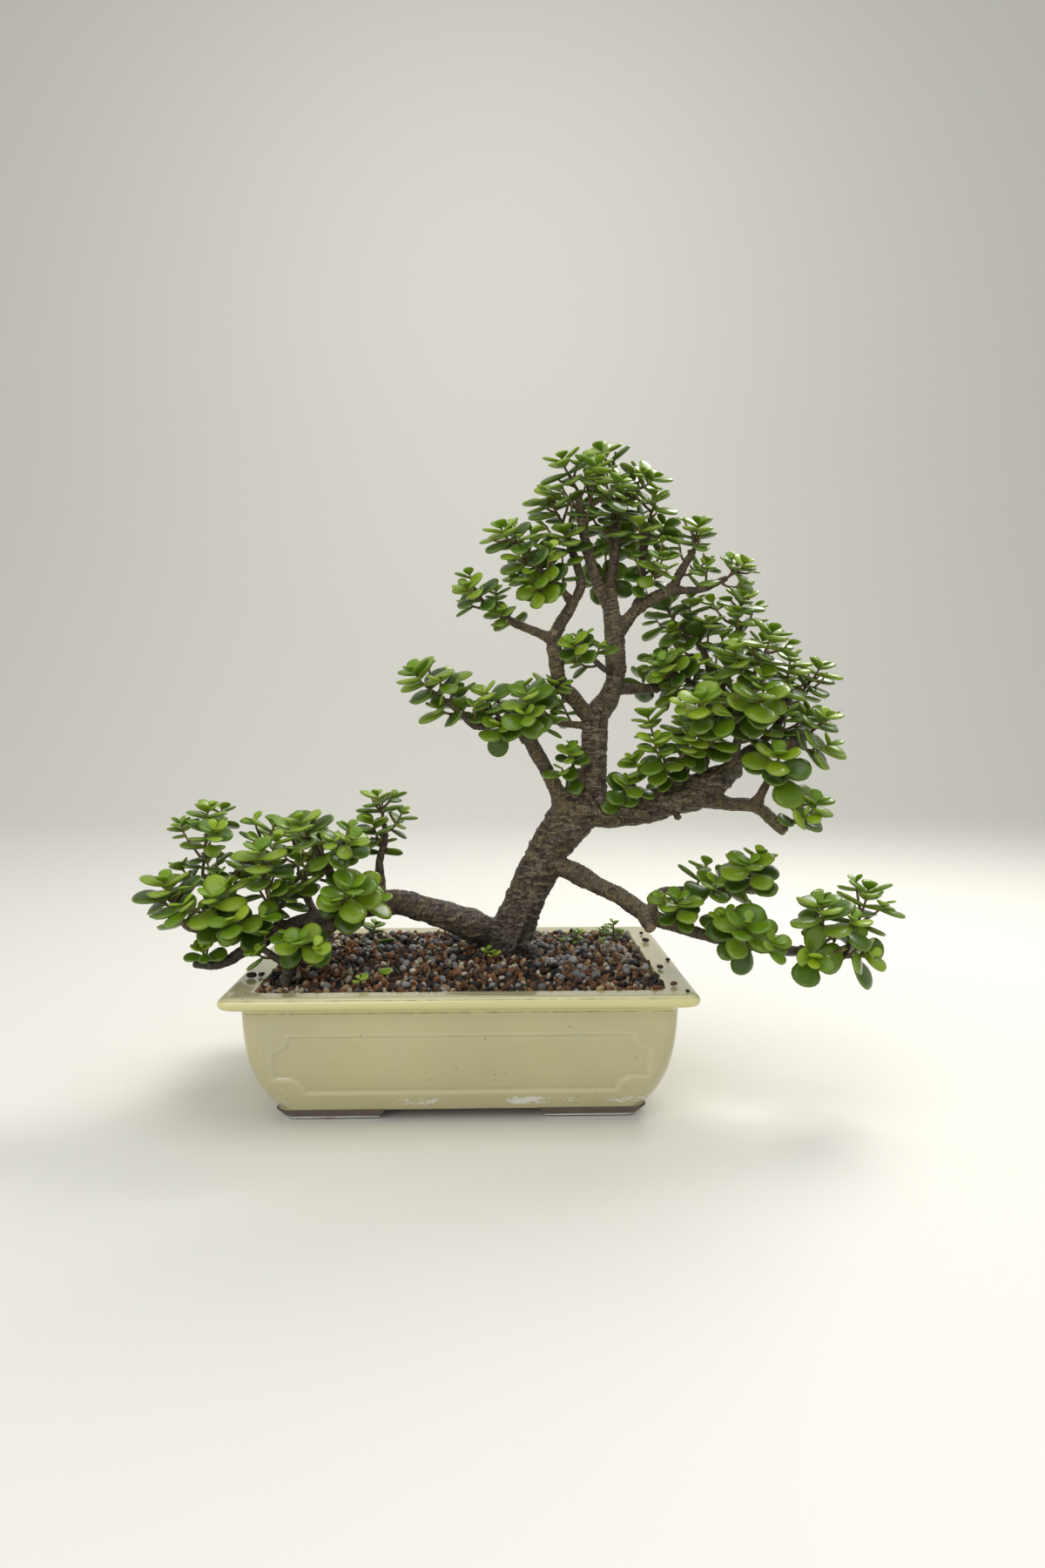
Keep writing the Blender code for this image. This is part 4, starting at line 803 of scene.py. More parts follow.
# Routes are (x, y, height above the soil, radius) in millimetres. Each limb starts inside its
# bearer. Its tone runs from 0, dark plum, to 1, light tan, and its rings from 0, none, to 1.
LIMBS = [
    ("trunk", 0.16, 0.14, [
        (24, 0, -28, 10.5), (25, 0, -10, 14.6), (25, 0, 0, 13.4), (25, 0, 11, 12.9), (32, 1, 28, 11.8),
        (40, 2, 46, 11.4), (49, 4, 64, 11.7), (58, 5, 76, 12.6), (66, 6, 88, 13.2), (66, 6, 96, 9.6)]),
    ("top_stub", 0.45, 0.3, [(66, 6, 90, 10.0), (65, 4, 101, 7.1), (64, 2, 109, 5.2)]),
    ("heavy", 0.45, 0.25, [
        (64, 6, 86, 11.6), (76, 5, 87, 11.2), (88, 4, 86, 9.6), (114, 0, 91, 9.9), (135, -4, 99, 9.9),
        (151, -6, 108, 6.5), (158, -6, 110, 4.2)]),
    ("heavy_out", 0.40, 0.5, [
        (147, -6, 106, 5.4), (160, -10, 118, 4.5), (171, -16, 122, 3.4), (184, -22, 126, 2.9),
        (192, -26, 131, 2.2)]),
    ("heavy_drop", 0.35, 0.5, [
        (135, -1, 95, 6.1), (151, -8, 91, 4.0), (165, -14, 90, 3.7), (175, -20, 81, 3.4),
        (180, -22, 76, 2.9)]),
    ("heavy_drop_up", 0.35, 0.5, [(165, -14, 90, 3.0), (170, -20, 103, 2.2), (173, -24, 110, 1.7)]),
    ("leader", 0.85, 1.0, [
        (75, 4, 90, 8.4), (75, 4, 109, 7.3), (75, 5, 129, 7.1), (77, 6, 142, 7.1), (84, 8, 151, 6.2),
        (88, 9, 165, 5.6), (88, 10, 180, 6.0), (87, 10, 193, 5.6), (85, 10, 207, 5.1),
        (84, 10, 211, 4.2)]),
    ("leader_cut", 0.62, 0.9, [
        (84, 10, 205, 4.1), (76, 6, 221, 3.3), (70, 2, 239, 3.0), (67, -2, 252, 2.7),
        (65, -4, 267, 2.2)]),
    ("leader_back", 0.5, 0.8, [
        (85, 10, 206, 4.1), (86, 14, 219, 3.1), (88, 16, 237, 2.8), (88, 18, 257, 2.6),
        (91, 20, 269, 2.3), (90, 22, 283, 1.8)]),
    ("leader_right", 0.5, 0.8, [
        (88, 10, 187, 4.1), (99, 6, 202, 3.8), (108, 2, 208, 3.5), (119, -2, 214, 3.4),
        (122, -4, 220, 2.7), (130, -6, 234, 2.0)]),
    ("leader_right_out", 0.4, 0.6, [
        (118, -2, 213, 2.5), (126, -7, 212, 2.1), (134, -12, 212, 2.0), (146, -20, 217, 1.6)]),
    ("leader_right_up", 0.4, 0.7, [
        (101, 6, 203, 3.0), (103, 8, 212, 2.7), (103, 10, 227, 2.5), (105, 12, 240, 2.3),
        (107, 14, 252, 1.9)]),
    ("leader_side", 0.35, 0.5, [
        (86, 9, 167, 2.2), (80, -2, 168, 1.7), (73, -8, 173, 1.5), (68, -14, 176, 1.2)]),
    ("arm", 0.70, 0.9, [
        (77, 6, 140, 5.4), (72, 4, 141, 5.0), (64, 0, 150, 4.5), (55, -4, 160, 4.2),
        (52, -6, 175, 4.2), (50, -8, 187, 4.2)]),
    ("arm_up", 0.55, 0.8, [
        (50, -8, 184, 3.9), (56, -6, 195, 3.4), (63, -2, 206, 3.1), (67, 2, 217, 2.9),
        (64, 4, 230, 2.5), (58, 6, 249, 2.0)]),
    ("arm_up_left", 0.4, 0.6, [
        (62, -3, 205, 2.0), (52, -10, 215, 1.9), (44, -14, 220, 1.7), (33, -20, 230, 1.3)]),
    ("arm_left", 0.5, 0.7, [
        (51, -8, 184, 2.7), (38, -12, 189, 2.4), (25, -18, 194, 2.2), (13, -26, 202, 1.6)]),
    ("left_arm", 0.45, 0.8, [
        (56, 2, 80, 6.0), (54, -3, 96, 4.8), (47, -6, 110, 4.3), (39, -10, 124, 4.2),
        (35, -12, 133, 3.6)]),
    ("left_arm_out", 0.4, 0.7, [
        (36, -12, 128, 2.9), (29, -15, 136, 2.5), (21, -18, 137, 2.3), (8, -23, 135, 2.0),
        (-2, -28, 143, 1.7), (-9, -32, 149, 1.4)]),
    ("left_arm_back", 0.4, 0.6, [
        (74, 5, 135, 2.4), (56, 2, 137, 1.8), (49, 0, 140, 1.5), (42, -4, 144, 1.4)]),
    ("left_arm_stub", 0.45, 0.5, [(37, -11, 127, 2.5), (40, -16, 133, 1.9), (42, -20, 138, 1.5)]),
    ("low_right", 0.50, 0.8, [
        (42, 2, 54, 6.8), (57, -2, 54, 6.0), (73, -8, 46, 5.2), (88, -14, 39, 4.9),
        (101, -18, 30, 4.7), (114, -22, 25, 4.2), (127, -26, 21, 3.6), (143, -30, 17, 3.4),
        (158, -34, 15, 3.5), (175, -40, 13, 3.1), (187, -44, 13, 2.7)]),
    ("low_right_upper", 0.45, 0.7, [
        (105, -19, 29, 2.9), (108, -14, 36, 2.6), (113, -12, 41, 2.4), (126, -14, 42, 2.2),
        (140, -20, 42, 2.2), (154, -26, 45, 2.0), (161, -30, 46, 1.6)]),
    ("low_right_tip", 0.4, 0.5, [
        (183, -43, 13, 2.4), (195, -46, 11, 2.0), (205, -46, 10, 1.7), (213, -41, 21, 1.3)]),
    ("low_right_stub", 0.7, 0.4, [(99, -17, 31, 4.0), (102, -25, 27, 3.8), (104, -30, 23, 3.4)]),
    ("low_left", 0.08, 0.6, [
        (22, 0, 14, 9.4), (8, -2, 19, 8.9), (-7, -6, 25, 8.0), (-21, -10, 31, 7.4),
        (-37, -14, 36, 6.9), (-49, -17, 35, 5.9), (-62, -20, 32, 5.1), (-77, -22, 30, 4.7),
        (-90, -24, 27, 4.4), (-103, -26, 23, 3.7)]),
    ("low_left_far", 0.25, 0.5, [
        (-99, -25, 24, 3.3), (-119, -30, 23, 2.5), (-133, -34, 24, 2.4), (-147, -38, 27, 2.1),
        (-152, -41, 35, 1.7)]),
    ("low_left_stub", 0.3, 0.4, [
        (-99, -25, 24, 3.4), (-112, -30, 16, 3.6), (-121, -32, 12, 3.6), (-127, -34, 8, 3.2),
        (-136, -36, 6, 2.6), (-145, -38, 7, 1.9)]),
    ("twig_a", 0.3, 0.5, [
        (-82, -22, 28, 2.8), (-87, -18, 39, 2.2), (-89, -14, 48, 2.0), (-93, -12, 53, 1.6)]),
    ("twig_b", 0.3, 0.6, [
        (-66, -21, 31, 2.9), (-70, -26, 45, 2.2), (-75, -30, 58, 1.9), (-80, -34, 69, 1.6)]),
    ("twig_c", 0.25, 0.5, [
        (-47, -16, 34, 3.4), (-47, -12, 47, 2.7), (-48, -10, 58, 2.5), (-45, -8, 70, 2.0),
        (-45, -8, 80, 1.5)]),
    ("twig_d", 0.3, 0.5, [
        (-100, -26, 24, 2.6), (-103, -33, 35, 1.9), (-104, -38, 43, 1.6), (-105, -40, 49, 1.4)]),
    ("twig_e", 0.3, 0.5, [
        (-115, -29, 23, 2.2), (-126, -22, 33, 1.9), (-134, -16, 43, 1.8), (-130, -10, 51, 1.7),
        (-122, -6, 58, 1.4)]),
    ("twig_f", 0.3, 0.5, [(-133, -17, 42, 1.7), (-141, -17, 47, 1.5), (-145, -18, 53, 1.2)]),
    ("twig_g", 0.3, 0.5, [(-72, -29, 52, 1.8), (-72, -34, 60, 1.5), (-69, -38, 66, 1.3)]),
    ("top_a", 0.55, 0.8, [
        (123, 0, 103, 4.6), (128, -6, 116, 4.2), (135, -14, 126, 3.9), (141, -20, 135, 3.1)]),
    ("top_b", 0.4, 0.7, [
        (152, -6, 107, 3.9), (153, -12, 118, 3.0), (155, -22, 136, 2.4), (157, -28, 151, 1.9),
        (159, -32, 164, 1.6)]),
    ("top_c", 0.4, 0.7, [
        (161, -10, 119, 2.9), (174, -4, 129, 2.5), (183, 0, 139, 2.4), (187, 3, 150, 2.2),
        (197, 6, 155, 1.8)]),
    ("top_d", 0.4, 0.7, [
        (135, -3, 101, 3.9), (142, 6, 121, 2.8), (147, 12, 148, 2.6), (146, 16, 171, 2.2)]),
    ("top_e", 0.35, 0.5, [(146, 12, 146, 2.3), (138, 8, 157, 1.8), (126, 4, 163, 1.5)]),
    ("top_f", 0.45, 0.7, [
        (86, 8, 157, 3.8), (101, 14, 157, 3.5), (113, 18, 158, 3.3), (125, 22, 163, 2.6)]),
    ("top_g", 0.35, 0.5, [
        (146, 15, 168, 2.1), (140, 18, 182, 1.8), (134, 20, 189, 1.7), (125, 24, 197, 1.3)]),
    ("top_h", 0.35, 0.5, [
        (148, 12, 154, 2.1), (158, 10, 171, 1.8), (160, 8, 186, 1.6), (158, 6, 199, 1.3)]),
    ("dropping", 0.15, 0.6, [
        (-68, -24, 30, 3.6), (-72, -30, 26, 3.6), (-81, -36, 20.6, 3.5), (-90, -54, 9.0, 3.2),
        (-94, -60, -7, 3.0)]),
    ("dropping_fork", 0.2, 0.5, [
        (-90, -54, 9.0, 2.3), (-99, -52, 14, 1.8), (-106, -49, 18, 1.6), (-109, -48, 21, 1.2)]),
]
ROOT_ANGLES = (20, 95, 160, 232, 305)
for angle in ROOT_ANGLES:
    way_x, way_y = math.cos(math.radians(angle)), math.sin(math.radians(angle))
    LIMBS.append(("root_%d" % angle, 0.3, 0.2, [
        (25 + way_x * reach, way_y * reach, height, radius)
        for reach, height, radius in ((4, -9, 8.0), (20.7, -13, 4.2), (46, -21, 2.2))]))
THICK_LIMB = 3.3
ROUTE_STEP = 0.9
BARK_CELL = 0.62 * MM
WOOD_TRIANGLES = 190000
TWIG_SIDES = 12
END_REACH = 0.30
END_SHARE = 0.72
RING_SPACING = 0.00155
SCALES_PER_METRE = 210.0


def frames_along(points):
    """Unit vectors (way, side, up) at each point of a route, with no twist."""
    ways = np.gradient(points, axis=0)
    ways /= np.linalg.norm(ways, axis=1, keepdims=True)
    side = np.cross(ways[0], (0.3, 0.9, 0.31))
    sides = []
    for way in ways:
        side = side - way * np.dot(side, way)
        side = side / np.linalg.norm(side)
        sides.append(side)
    sides = np.array(sides)
    return ways, sides, np.cross(ways, sides)


def tube_mesh(points, radii, sides, faces, verts):
    """Adds a closed tube along a route to faces and verts, its ends rounded over."""
    ways, side, up = frames_along(points)
    rings = [(points[0] - ways[0] * radii[0] * END_REACH, radii[0] * END_SHARE, 0)]
    rings += [(point, radius, k) for k, (point, radius) in enumerate(zip(points, radii))]
    rings.append((points[-1] + ways[-1] * radii[-1] * END_REACH, radii[-1] * END_SHARE, len(points) - 1))
    base = len(verts)
    angles = np.linspace(0, 2 * math.pi, sides, endpoint=False)
    for centre, radius, k in rings:
        verts.extend(centre + radius * (side[k] * math.cos(a) + up[k] * math.sin(a)) for a in angles)
    for row in range(len(rings) - 1):
        for k in range(sides):
            j = (k + 1) % sides
            faces.append((base + row * sides + k, base + row * sides + j,
                          base + (row + 1) * sides + j, base + (row + 1) * sides + k))
    faces.append(tuple(base + k for k in range(sides))[::-1])
    faces.append(tuple(base + (len(rings) - 1) * sides + k for k in range(sides)))


def limb_stations(rows, step):
    """A limb's smooth route in metres in the row frame, with its radii and the distance along it."""
    route = smooth_route([(x, y, h, r) for x, y, h, r in rows], step)
    points = route[:, :3] * MM
    points[:, 0] += POT_X
    points[:, 2] += SOIL_LEVEL
    along = np.concatenate([[0], np.cumsum(np.linalg.norm(np.diff(points, axis=0), axis=1))])
    return points, route[:, 3] * MM, along


def knobbly(radii, along, seed, rings):
    """Radii with a limb's old nodes: a low swelling every 6 to 9 mm and a slow unevenness."""
    spot = np.column_stack([along, np.full(len(along), seed * 1.7), np.zeros(len(along))])
    uneven = 1 + 0.12 * (lattice(spot, 9 * MM, seed) - 0.5)
    spacing = np.clip(radii.mean() * 2.6, 4.5 * MM, 10 * MM)
    phase = along / spacing + 0.6 * lattice(spot, 14 * MM, seed + 5)
    swelling = np.exp(-((phase % 1.0 - 0.5) / 0.10) ** 2)
    return radii * uneven + swelling * 0.28 * MM * rings


stations = []
thick_verts, thick_faces, thin_limbs = [], [], []
for number, (limb_name, tone, rings, rows) in enumerate(LIMBS):
    points, radii, along = limb_stations(rows, ROUTE_STEP)
    shaped = knobbly(radii, along, number + 1, rings)
    if rows[0][3] >= THICK_LIMB or limb_name.startswith("root"):
        tube_mesh(points, shaped, max(12, int(2 * math.pi * radii.max() / (1.0 * MM))), thick_faces,
                  thick_verts)
        for point, radius, distance, way in zip(points, radii, along, frames_along(points)[0]):
            stations.append((point, radius, distance + number * 0.5, way, tone, rings,
                             along[-1] - distance))
    else:
        thin_limbs.append((number, tone, rings, points, shaped, along))

# Roots run up the trunk as veins, and burrs and old bud scars stand on the knuckle and limbs.
for vein in ([(38, -9.2, 34, 1.6), (33, -11.2, 22, 2.0), (28.5, -12.6, 12, 2.3), (25, -14.0, 3, 2.8),
              (22, -17.0, -5, 2.6)],
             [(35, 11, 20, 2.2), (37, 14, 8, 2.8), (40, 19, -4, 2.8)],
             [(14, -9, 8, 2.4), (6, -13, 2, 2.8), (-3, -18, -5, 2.4)],
             [(34, -8, 12, 2.6), (41, -11, 3, 3.0), (49, -15, -5, 2.4)],
             [(66, -5.0, 98, 1.5), (60, -5.4, 90, 2.2), (53, -6.5, 78, 1.6)]):
    points, radii, _ = limb_stations(vein, ROUTE_STEP)
    tube_mesh(points, radii, 14, thick_faces, thick_verts)
for x, y, height, radius in (
        (71, -6, 96, 3.4), (60, -4.5, 97, 3.0), (78, -5.5, 93, 3.2), (84, -4, 79, 2.4),
        (66, -7.0, 84, 3.0), (95, -5.5, 90, 2.6), (104, -8.2, 94, 3.0), (117, -9.0, 93, 2.8),
        (128, -12, 98, 2.4), (122, -6.5, 83, 2.6), (55, -8, 70, 2.4), (44, -9.5, 50, 2.2),
        (100, 9, 92, 3.2), (74, 17, 86, 3.4), (52, 15.5, 66, 3.0), (-10, -13, 28, 2.2),
        (-30, -18, 34, 2.0), (92, -17.5, 40, 1.8), (112, -25, 27, 1.7), (83, -17, 44, 1.7),
        (78, -2.5, 146, 2.4), (82, 2.0, 158, 1.8), (146, -13, 104, 2.2), (140, -13.5, 93, 2.6)):
    points, radii, _ = limb_stations([(x, y, height - radius * 0.5, radius * 0.8), (x, y, height, radius),
                                      (x, y, height + radius * 0.5, radius * 0.8)], ROUTE_STEP)
    tube_mesh(points, radii, 12, thick_faces, thick_verts)


def nearest_limb(points):
    """For each surface point: distance along its limb, girth, tone, rings and distance to its end."""
    centres = np.array([s[0] for s in stations])
    radii = np.array([s[1] for s in stations])
    starts = np.array([s[2] for s in stations])
    ways = np.array([s[3] for s in stations])
    others = np.array([(s[4], s[5], s[6]) for s in stations])
    found = np.empty(len(points), int)
    for first in range(0, len(points), 4000):
        part = points[first:first + 4000]
        apart = np.linalg.norm(part[:, None, :] - centres[None, :, :], axis=2) - radii[None, :]
        found[first:first + 4000] = apart.argmin(axis=1)
    along = starts[found] + np.einsum("ij,ij->i", points - centres[found], ways[found])
    return along, radii[found], others[found, 0], others[found, 1], others[found, 2]


def evened(mesh, values, rounds):
    """Values spread a little over the mesh, so that one limb's bark passes into the next."""
    edges = np.empty(len(mesh.edges) * 2, np.int32)
    mesh.edges.foreach_get("vertices", edges)
    a, b = edges.reshape(-1, 2).T
    count = np.bincount(a, minlength=len(values)) + np.bincount(b, minlength=len(values))
    for _ in range(rounds):
        total = np.bincount(a, values[b], len(values)) + np.bincount(b, values[a], len(values))
        values = 0.5 * values + 0.5 * total / np.maximum(count, 1)
    return values


def bark_relief(points, along, girth, rings):
    """How far the bark stands out, in metres: lumps, wrinkles across the limb and thin flakes."""
    big = lattice(points, 13 * MM, 21) - 0.5
    lumps = lattice(points, 4.5 * MM, 22) - 0.5
    grit = lattice(points, 1.7 * MM, 23) - 0.5
    warp = lattice(points, 7 * MM, 24) * 1.5 + lattice(points, 2.6 * MM, 25) * 0.5
    wrinkle = 0.5 + 0.5 * np.cos(2 * math.pi * (along / (2.5 * MM) + warp))
    patchy = smooth_step(0.3, 0.65, lattice(points, 6 * MM, 26))
    flat = points * np.array([1.0, 1.0, 3.4])
    flakes = smooth_step(0.56, 0.66, lattice(flat, 6.5 * MM, 27))
    stout = np.clip(girth / (9 * MM), 0.25, 1.0)
    return (big * 1.9 * MM * stout + lumps * 1.15 * MM * stout + grit * 0.50 * MM
            + wrinkle ** 2 * patchy * 0.36 * MM * rings + flakes * 0.55 * MM
            * smooth_step(0.45, 0.9, stout))


def build_stout_wood():
    rough = mesh_object("stout_wood_rough", thick_verts, thick_faces)
    modifier = rough.modifiers.new("joined", "REMESH")
    modifier.mode = "VOXEL"
    modifier.voxel_size = BARK_CELL
    even = rough.modifiers.new("evened", "SMOOTH")
    even.factor = 0.5
    even.iterations = 5
    graph = bpy.context.evaluated_depsgraph_get()
    mesh = bpy.data.meshes.new_from_object(rough.evaluated_get(graph), depsgraph=graph)
    bpy.data.objects.remove(rough)
    mesh.name = "stout_wood"
    count = len(mesh.vertices)
    points = np.empty(count * 3, np.float32)
    mesh.vertices.foreach_get("co", points)
    points = points.reshape(-1, 3).astype(float)
    normals = np.empty(count * 3, np.float32)
    mesh.vertex_normals.foreach_get("vector", normals)
    normals = normals.reshape(-1, 3)
    along, girth, tone, rings, to_end = nearest_limb(points)
    tone, rings = evened(mesh, tone, 12), evened(mesh, rings, 8)
    relief = bark_relief(points, along, girth, rings)
    mesh.vertices.foreach_set("co",
                              (points + normals
                               * (relief - 0.15 * MM)[:, None]).astype(np.float32).ravel())
    cut = smooth_step(0.6 * MM, -0.5 * MM, to_end)
    for name, numbers in (("along", along), ("girth", girth), ("tone", tone), ("rings", rings),
                          ("hollow", relief - evened(mesh, relief, 14)), ("cut", cut)):
        mesh.attributes.new(name, "FLOAT", "POINT").data.foreach_set("value", numbers.astype(np.float32))
    mesh.update()
    dense = new_object("stout_wood_dense", mesh)
    thinned = dense.modifiers.new("thinned", "DECIMATE")
    thinned.ratio = WOOD_TRIANGLES / (2.0 * len(mesh.polygons))
    graph = bpy.context.evaluated_depsgraph_get()
    wood = bpy.data.meshes.new_from_object(dense.evaluated_get(graph), depsgraph=graph)
    bpy.data.objects.remove(dense)
    wood.name = "stout_wood"
    wood.shade_smooth()
    return new_object("stout_wood", wood)


def build_twigs():
    """The slim branches as one mesh: each swells where it leaves its bearer and at each old node."""
    verts, faces = [], []
    numbers = {"along": [], "girth": [], "tone": [], "rings": [], "hollow": [], "cut": []}
    for number, tone, rings, points, radii, along in thin_limbs:
        radii = radii * (1 + 0.45 * np.exp(-(np.maximum(along - 3 * MM, 0) / (2.5 * MM)) ** 2))
        spot = np.column_stack([along, np.full(len(along), number * 2.3), np.zeros(len(along))])
        wrinkle = (0.5 + 0.5
                   * np.cos(2 * math.pi * (along / (2.7 * MM) + lattice(spot, 5 * MM, number)))) ** 2
        radii = radii + wrinkle * 0.12 * MM
        first = len(verts)
        tube_mesh(points, radii, TWIG_SIDES, faces, verts)
        rows = [0, *range(len(points)), len(points) - 1]
        for row in rows:
            for key, value in (("along", along[row] + number * 0.5), ("girth", radii[row]),
                               ("tone", tone), ("rings", rings),
                               ("hollow", (wrinkle[row] - 0.4) * 0.12 * MM), ("cut", 0.0)):
                numbers[key] += [value] * TWIG_SIDES
        part = np.array(verts[first:])
        axis = np.repeat(points[rows], TWIG_SIDES, axis=0)
        out = part - axis
        out /= np.maximum(np.linalg.norm(out, axis=1, keepdims=True), 1e-9)
        bumps = (lattice(part, 2.2 * MM, 31) - 0.5) * 0.45 * MM
        part = part + out * bumps[:, None]
        verts[first:] = [tuple(p) for p in part]
    return mesh_object("slim_twigs", verts, faces, **numbers)


def bark_finish():
    made, tree, shader = new_material("ringed_succulent_bark", 0.62)
    tone, rings, along = attribute(tree, "tone"), attribute(tree, "rings"), attribute(tree, "along")
    hollow, cut = attribute(tree, "hollow"), attribute(tree, "cut")
    large = cloudy(tree, 75.0, detail=4.0, contrast=2.2, shift=0.0)
    small = cloudy(tree, 420.0, detail=5.0, contrast=2.4, shift=0.7)
    dark = mix_colour(tree, large, colour(0.030, 0.016, 0.017), colour(0.150, 0.092, 0.078))
    light = mix_colour(tree, large, colour(0.120, 0.088, 0.052), colour(0.225, 0.175, 0.110))
    base = mix_colour(tree, tone, dark, light)
    base = tinge(tree, base, small, 0.70, (0.024, 0.016, 0.013))
    ochre = map_range(tree, cloudy(tree, 130.0, detail=5.0, contrast=3.0, shift=0.45), 0.45, 0.8)
    base = tinge(tree, base, ochre, 0.55, (0.235, 0.175, 0.085))
    grey = map_range(tree, cloudy(tree, 48.0, detail=3.0, contrast=2.0, shift=1.3), 0.62, 0.85)
    base = tinge(tree, base, grey, 0.45, (0.135, 0.135, 0.130))
    spot = add_node(tree, "ShaderNodeTexCoord").outputs["Object"]
    wander = add_node(tree, "ShaderNodeTexNoise",
                      {"Vector": spot, "Scale": SCALES_PER_METRE, "Detail": 3.0}).outputs["Color"]
    pushed = add_node(tree, "ShaderNodeVectorMath", {0: wander, "Scale": 0.006},
                      operation="SCALE").outputs[0]
    spot = add_node(tree, "ShaderNodeVectorMath", {0: spot, 1: pushed}, operation="ADD").outputs[0]
    spot = add_node(tree, "ShaderNodeVectorMath", {0: spot, 1: (1.0, 1.0, 1.7)},
                    operation="MULTIPLY").outputs[0]
    scales = add_node(tree, "ShaderNodeTexVoronoi", {"Vector": spot, "Scale": SCALES_PER_METRE},
                      feature="F1")
    draw = add_node(tree, "ShaderNodeSeparateColor", {0: scales.outputs["Color"]})
    scale_tone = mix_colour(tree, draw.outputs[0], colour(0.040, 0.024, 0.022),
                            colour(0.250, 0.195, 0.120))
    scale_tone = mix_colour(tree, math_node(tree, "GREATER_THAN", draw.outputs[1], 0.82), scale_tone,
                            colour(0.300, 0.270, 0.200))
    stout = map_range(tree, attribute(tree, "girth"), 0.0035, 0.0085)
    shown = times(tree, stout, math_node(tree, "MULTIPLY_ADD", tone, 0.40, 0.30))
    base = mix_colour(tree, shown, base, scale_tone)
    seams = add_node(tree, "ShaderNodeTexVoronoi", {"Vector": spot, "Scale": SCALES_PER_METRE},
                     feature="DISTANCE_TO_EDGE")
    crack = map_range(tree, seams.outputs["Distance"], 0.09, 0.0)
    crack = times(tree, crack, math_node(tree, "MULTIPLY_ADD", stout, 0.75, 0.15))
    base = tinge(tree, base, crack, 0.65, (0.012, 0.008, 0.006))
    moss_zone = map_range(tree, cloudy(tree, 60.0, detail=4.0, contrast=2.2, shift=2.1), 0.45, 0.75)
    moss_fine = map_range(tree, cloudy(tree, 900.0, detail=4.0, contrast=2.5, shift=0.2), 0.45, 0.75)
    moss = times(tree, moss_zone, moss_fine)
    base = tinge(tree, base, moss, 0.85, (0.265, 0.220, 0.065))
    waver = cloudy(tree, 330.0, detail=3.0, contrast=1.0, shift=0.9)
    phase = math_node(tree, "MULTIPLY_ADD", along, 2 * math.pi / RING_SPACING, times(tree, waver, 11.0))
    wave = math_node(tree, "MULTIPLY_ADD", math_node(tree, "SINE", phase), 0.5, 0.5)
    line = times(tree, math_node(tree, "POWER", wave, 4.0), rings)
    broken = map_range(tree, cloudy(tree, 240.0, detail=3.0, contrast=2.0, shift=3.0), 0.35, 0.65)
    line = times(tree, line, broken)
    pale = mix_colour(tree, tone, colour(0.26, 0.205, 0.145), colour(0.44, 0.37, 0.25))
    base = mix_colour(tree, times(tree, line, 0.85), base, pale)
    # Painted shade: where the bark's relief lies below its surroundings, it is darkened nearly to black.
    high = map_range(tree, hollow, -0.00028, 0.00014)
    base = mix_colour(tree, math_node(tree, "MULTIPLY_ADD", high, -0.80, 0.80, clamp=True), base,
                      colour(0.012, 0.008, 0.006))
    # Painted highlight: the raised bark is laid over with pale tan.
    painted_ridge_highlight = times(tree, map_range(tree, hollow, 0.00008, 0.00032),
                math_node(tree, "MULTIPLY_ADD", small, 0.7, 0.3))
    base = tinge(tree, base, painted_ridge_highlight, 0.62, (0.33, 0.27, 0.175))
    base = mix_colour(tree, cut, base, colour(0.42, 0.31, 0.17))
    # The bark turns darker and smoother towards the soil.
    place = add_node(tree, "ShaderNodeTexCoord").outputs["Object"]
    height = add_node(tree, "ShaderNodeSeparateXYZ", {0: place}).outputs[2]
    toward_soil = map_range(tree, height, SOIL_LEVEL + 30 * MM, SOIL_LEVEL + 7 * MM)
    toward_soil = times(tree, toward_soil, math_node(tree, "MULTIPLY_ADD", large, 0.4, 0.6))
    base = tinge(tree, base, toward_soil, 0.82, (0.010, 0.007, 0.006))
    tree.links.new(base, shader.inputs["Base Color"])
    rough = math_node(tree, "MULTIPLY_ADD", small, 0.25, 0.50)
    tree.links.new(math_node(tree, "SUBTRACT", rough, times(tree, toward_soil, 0.25)), shader.inputs["Roughness"])
    relief = plus(tree, times(tree, line, 0.8), times(tree, small, 0.9))
    relief = plus(tree, relief, times(tree, moss, 0.5))
    relief = math_node(tree, "SUBTRACT", relief, times(tree, crack, 1.2))
    add_bump(tree, shader, 0.9, 0.0005, relief)
    return made


bark = bark_finish()
stout_wood = build_stout_wood()
twigs = build_twigs()
for wood in (stout_wood, twigs):
    wood.data.materials.append(bark)
    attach(wood, "root")
    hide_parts("trunk_and_branches")


# ---------------------------------------------------------------- leafy shoots
# Each shoot is new growth at a twig's end or side: a thin stem, red-brown at its foot and olive
# at its tip, with thick spoon-shaped leaves in pairs, each pair crosswise to the one below it.
# Old leaves are deep green with a thin paler rim; the last two pairs are small and lime green.

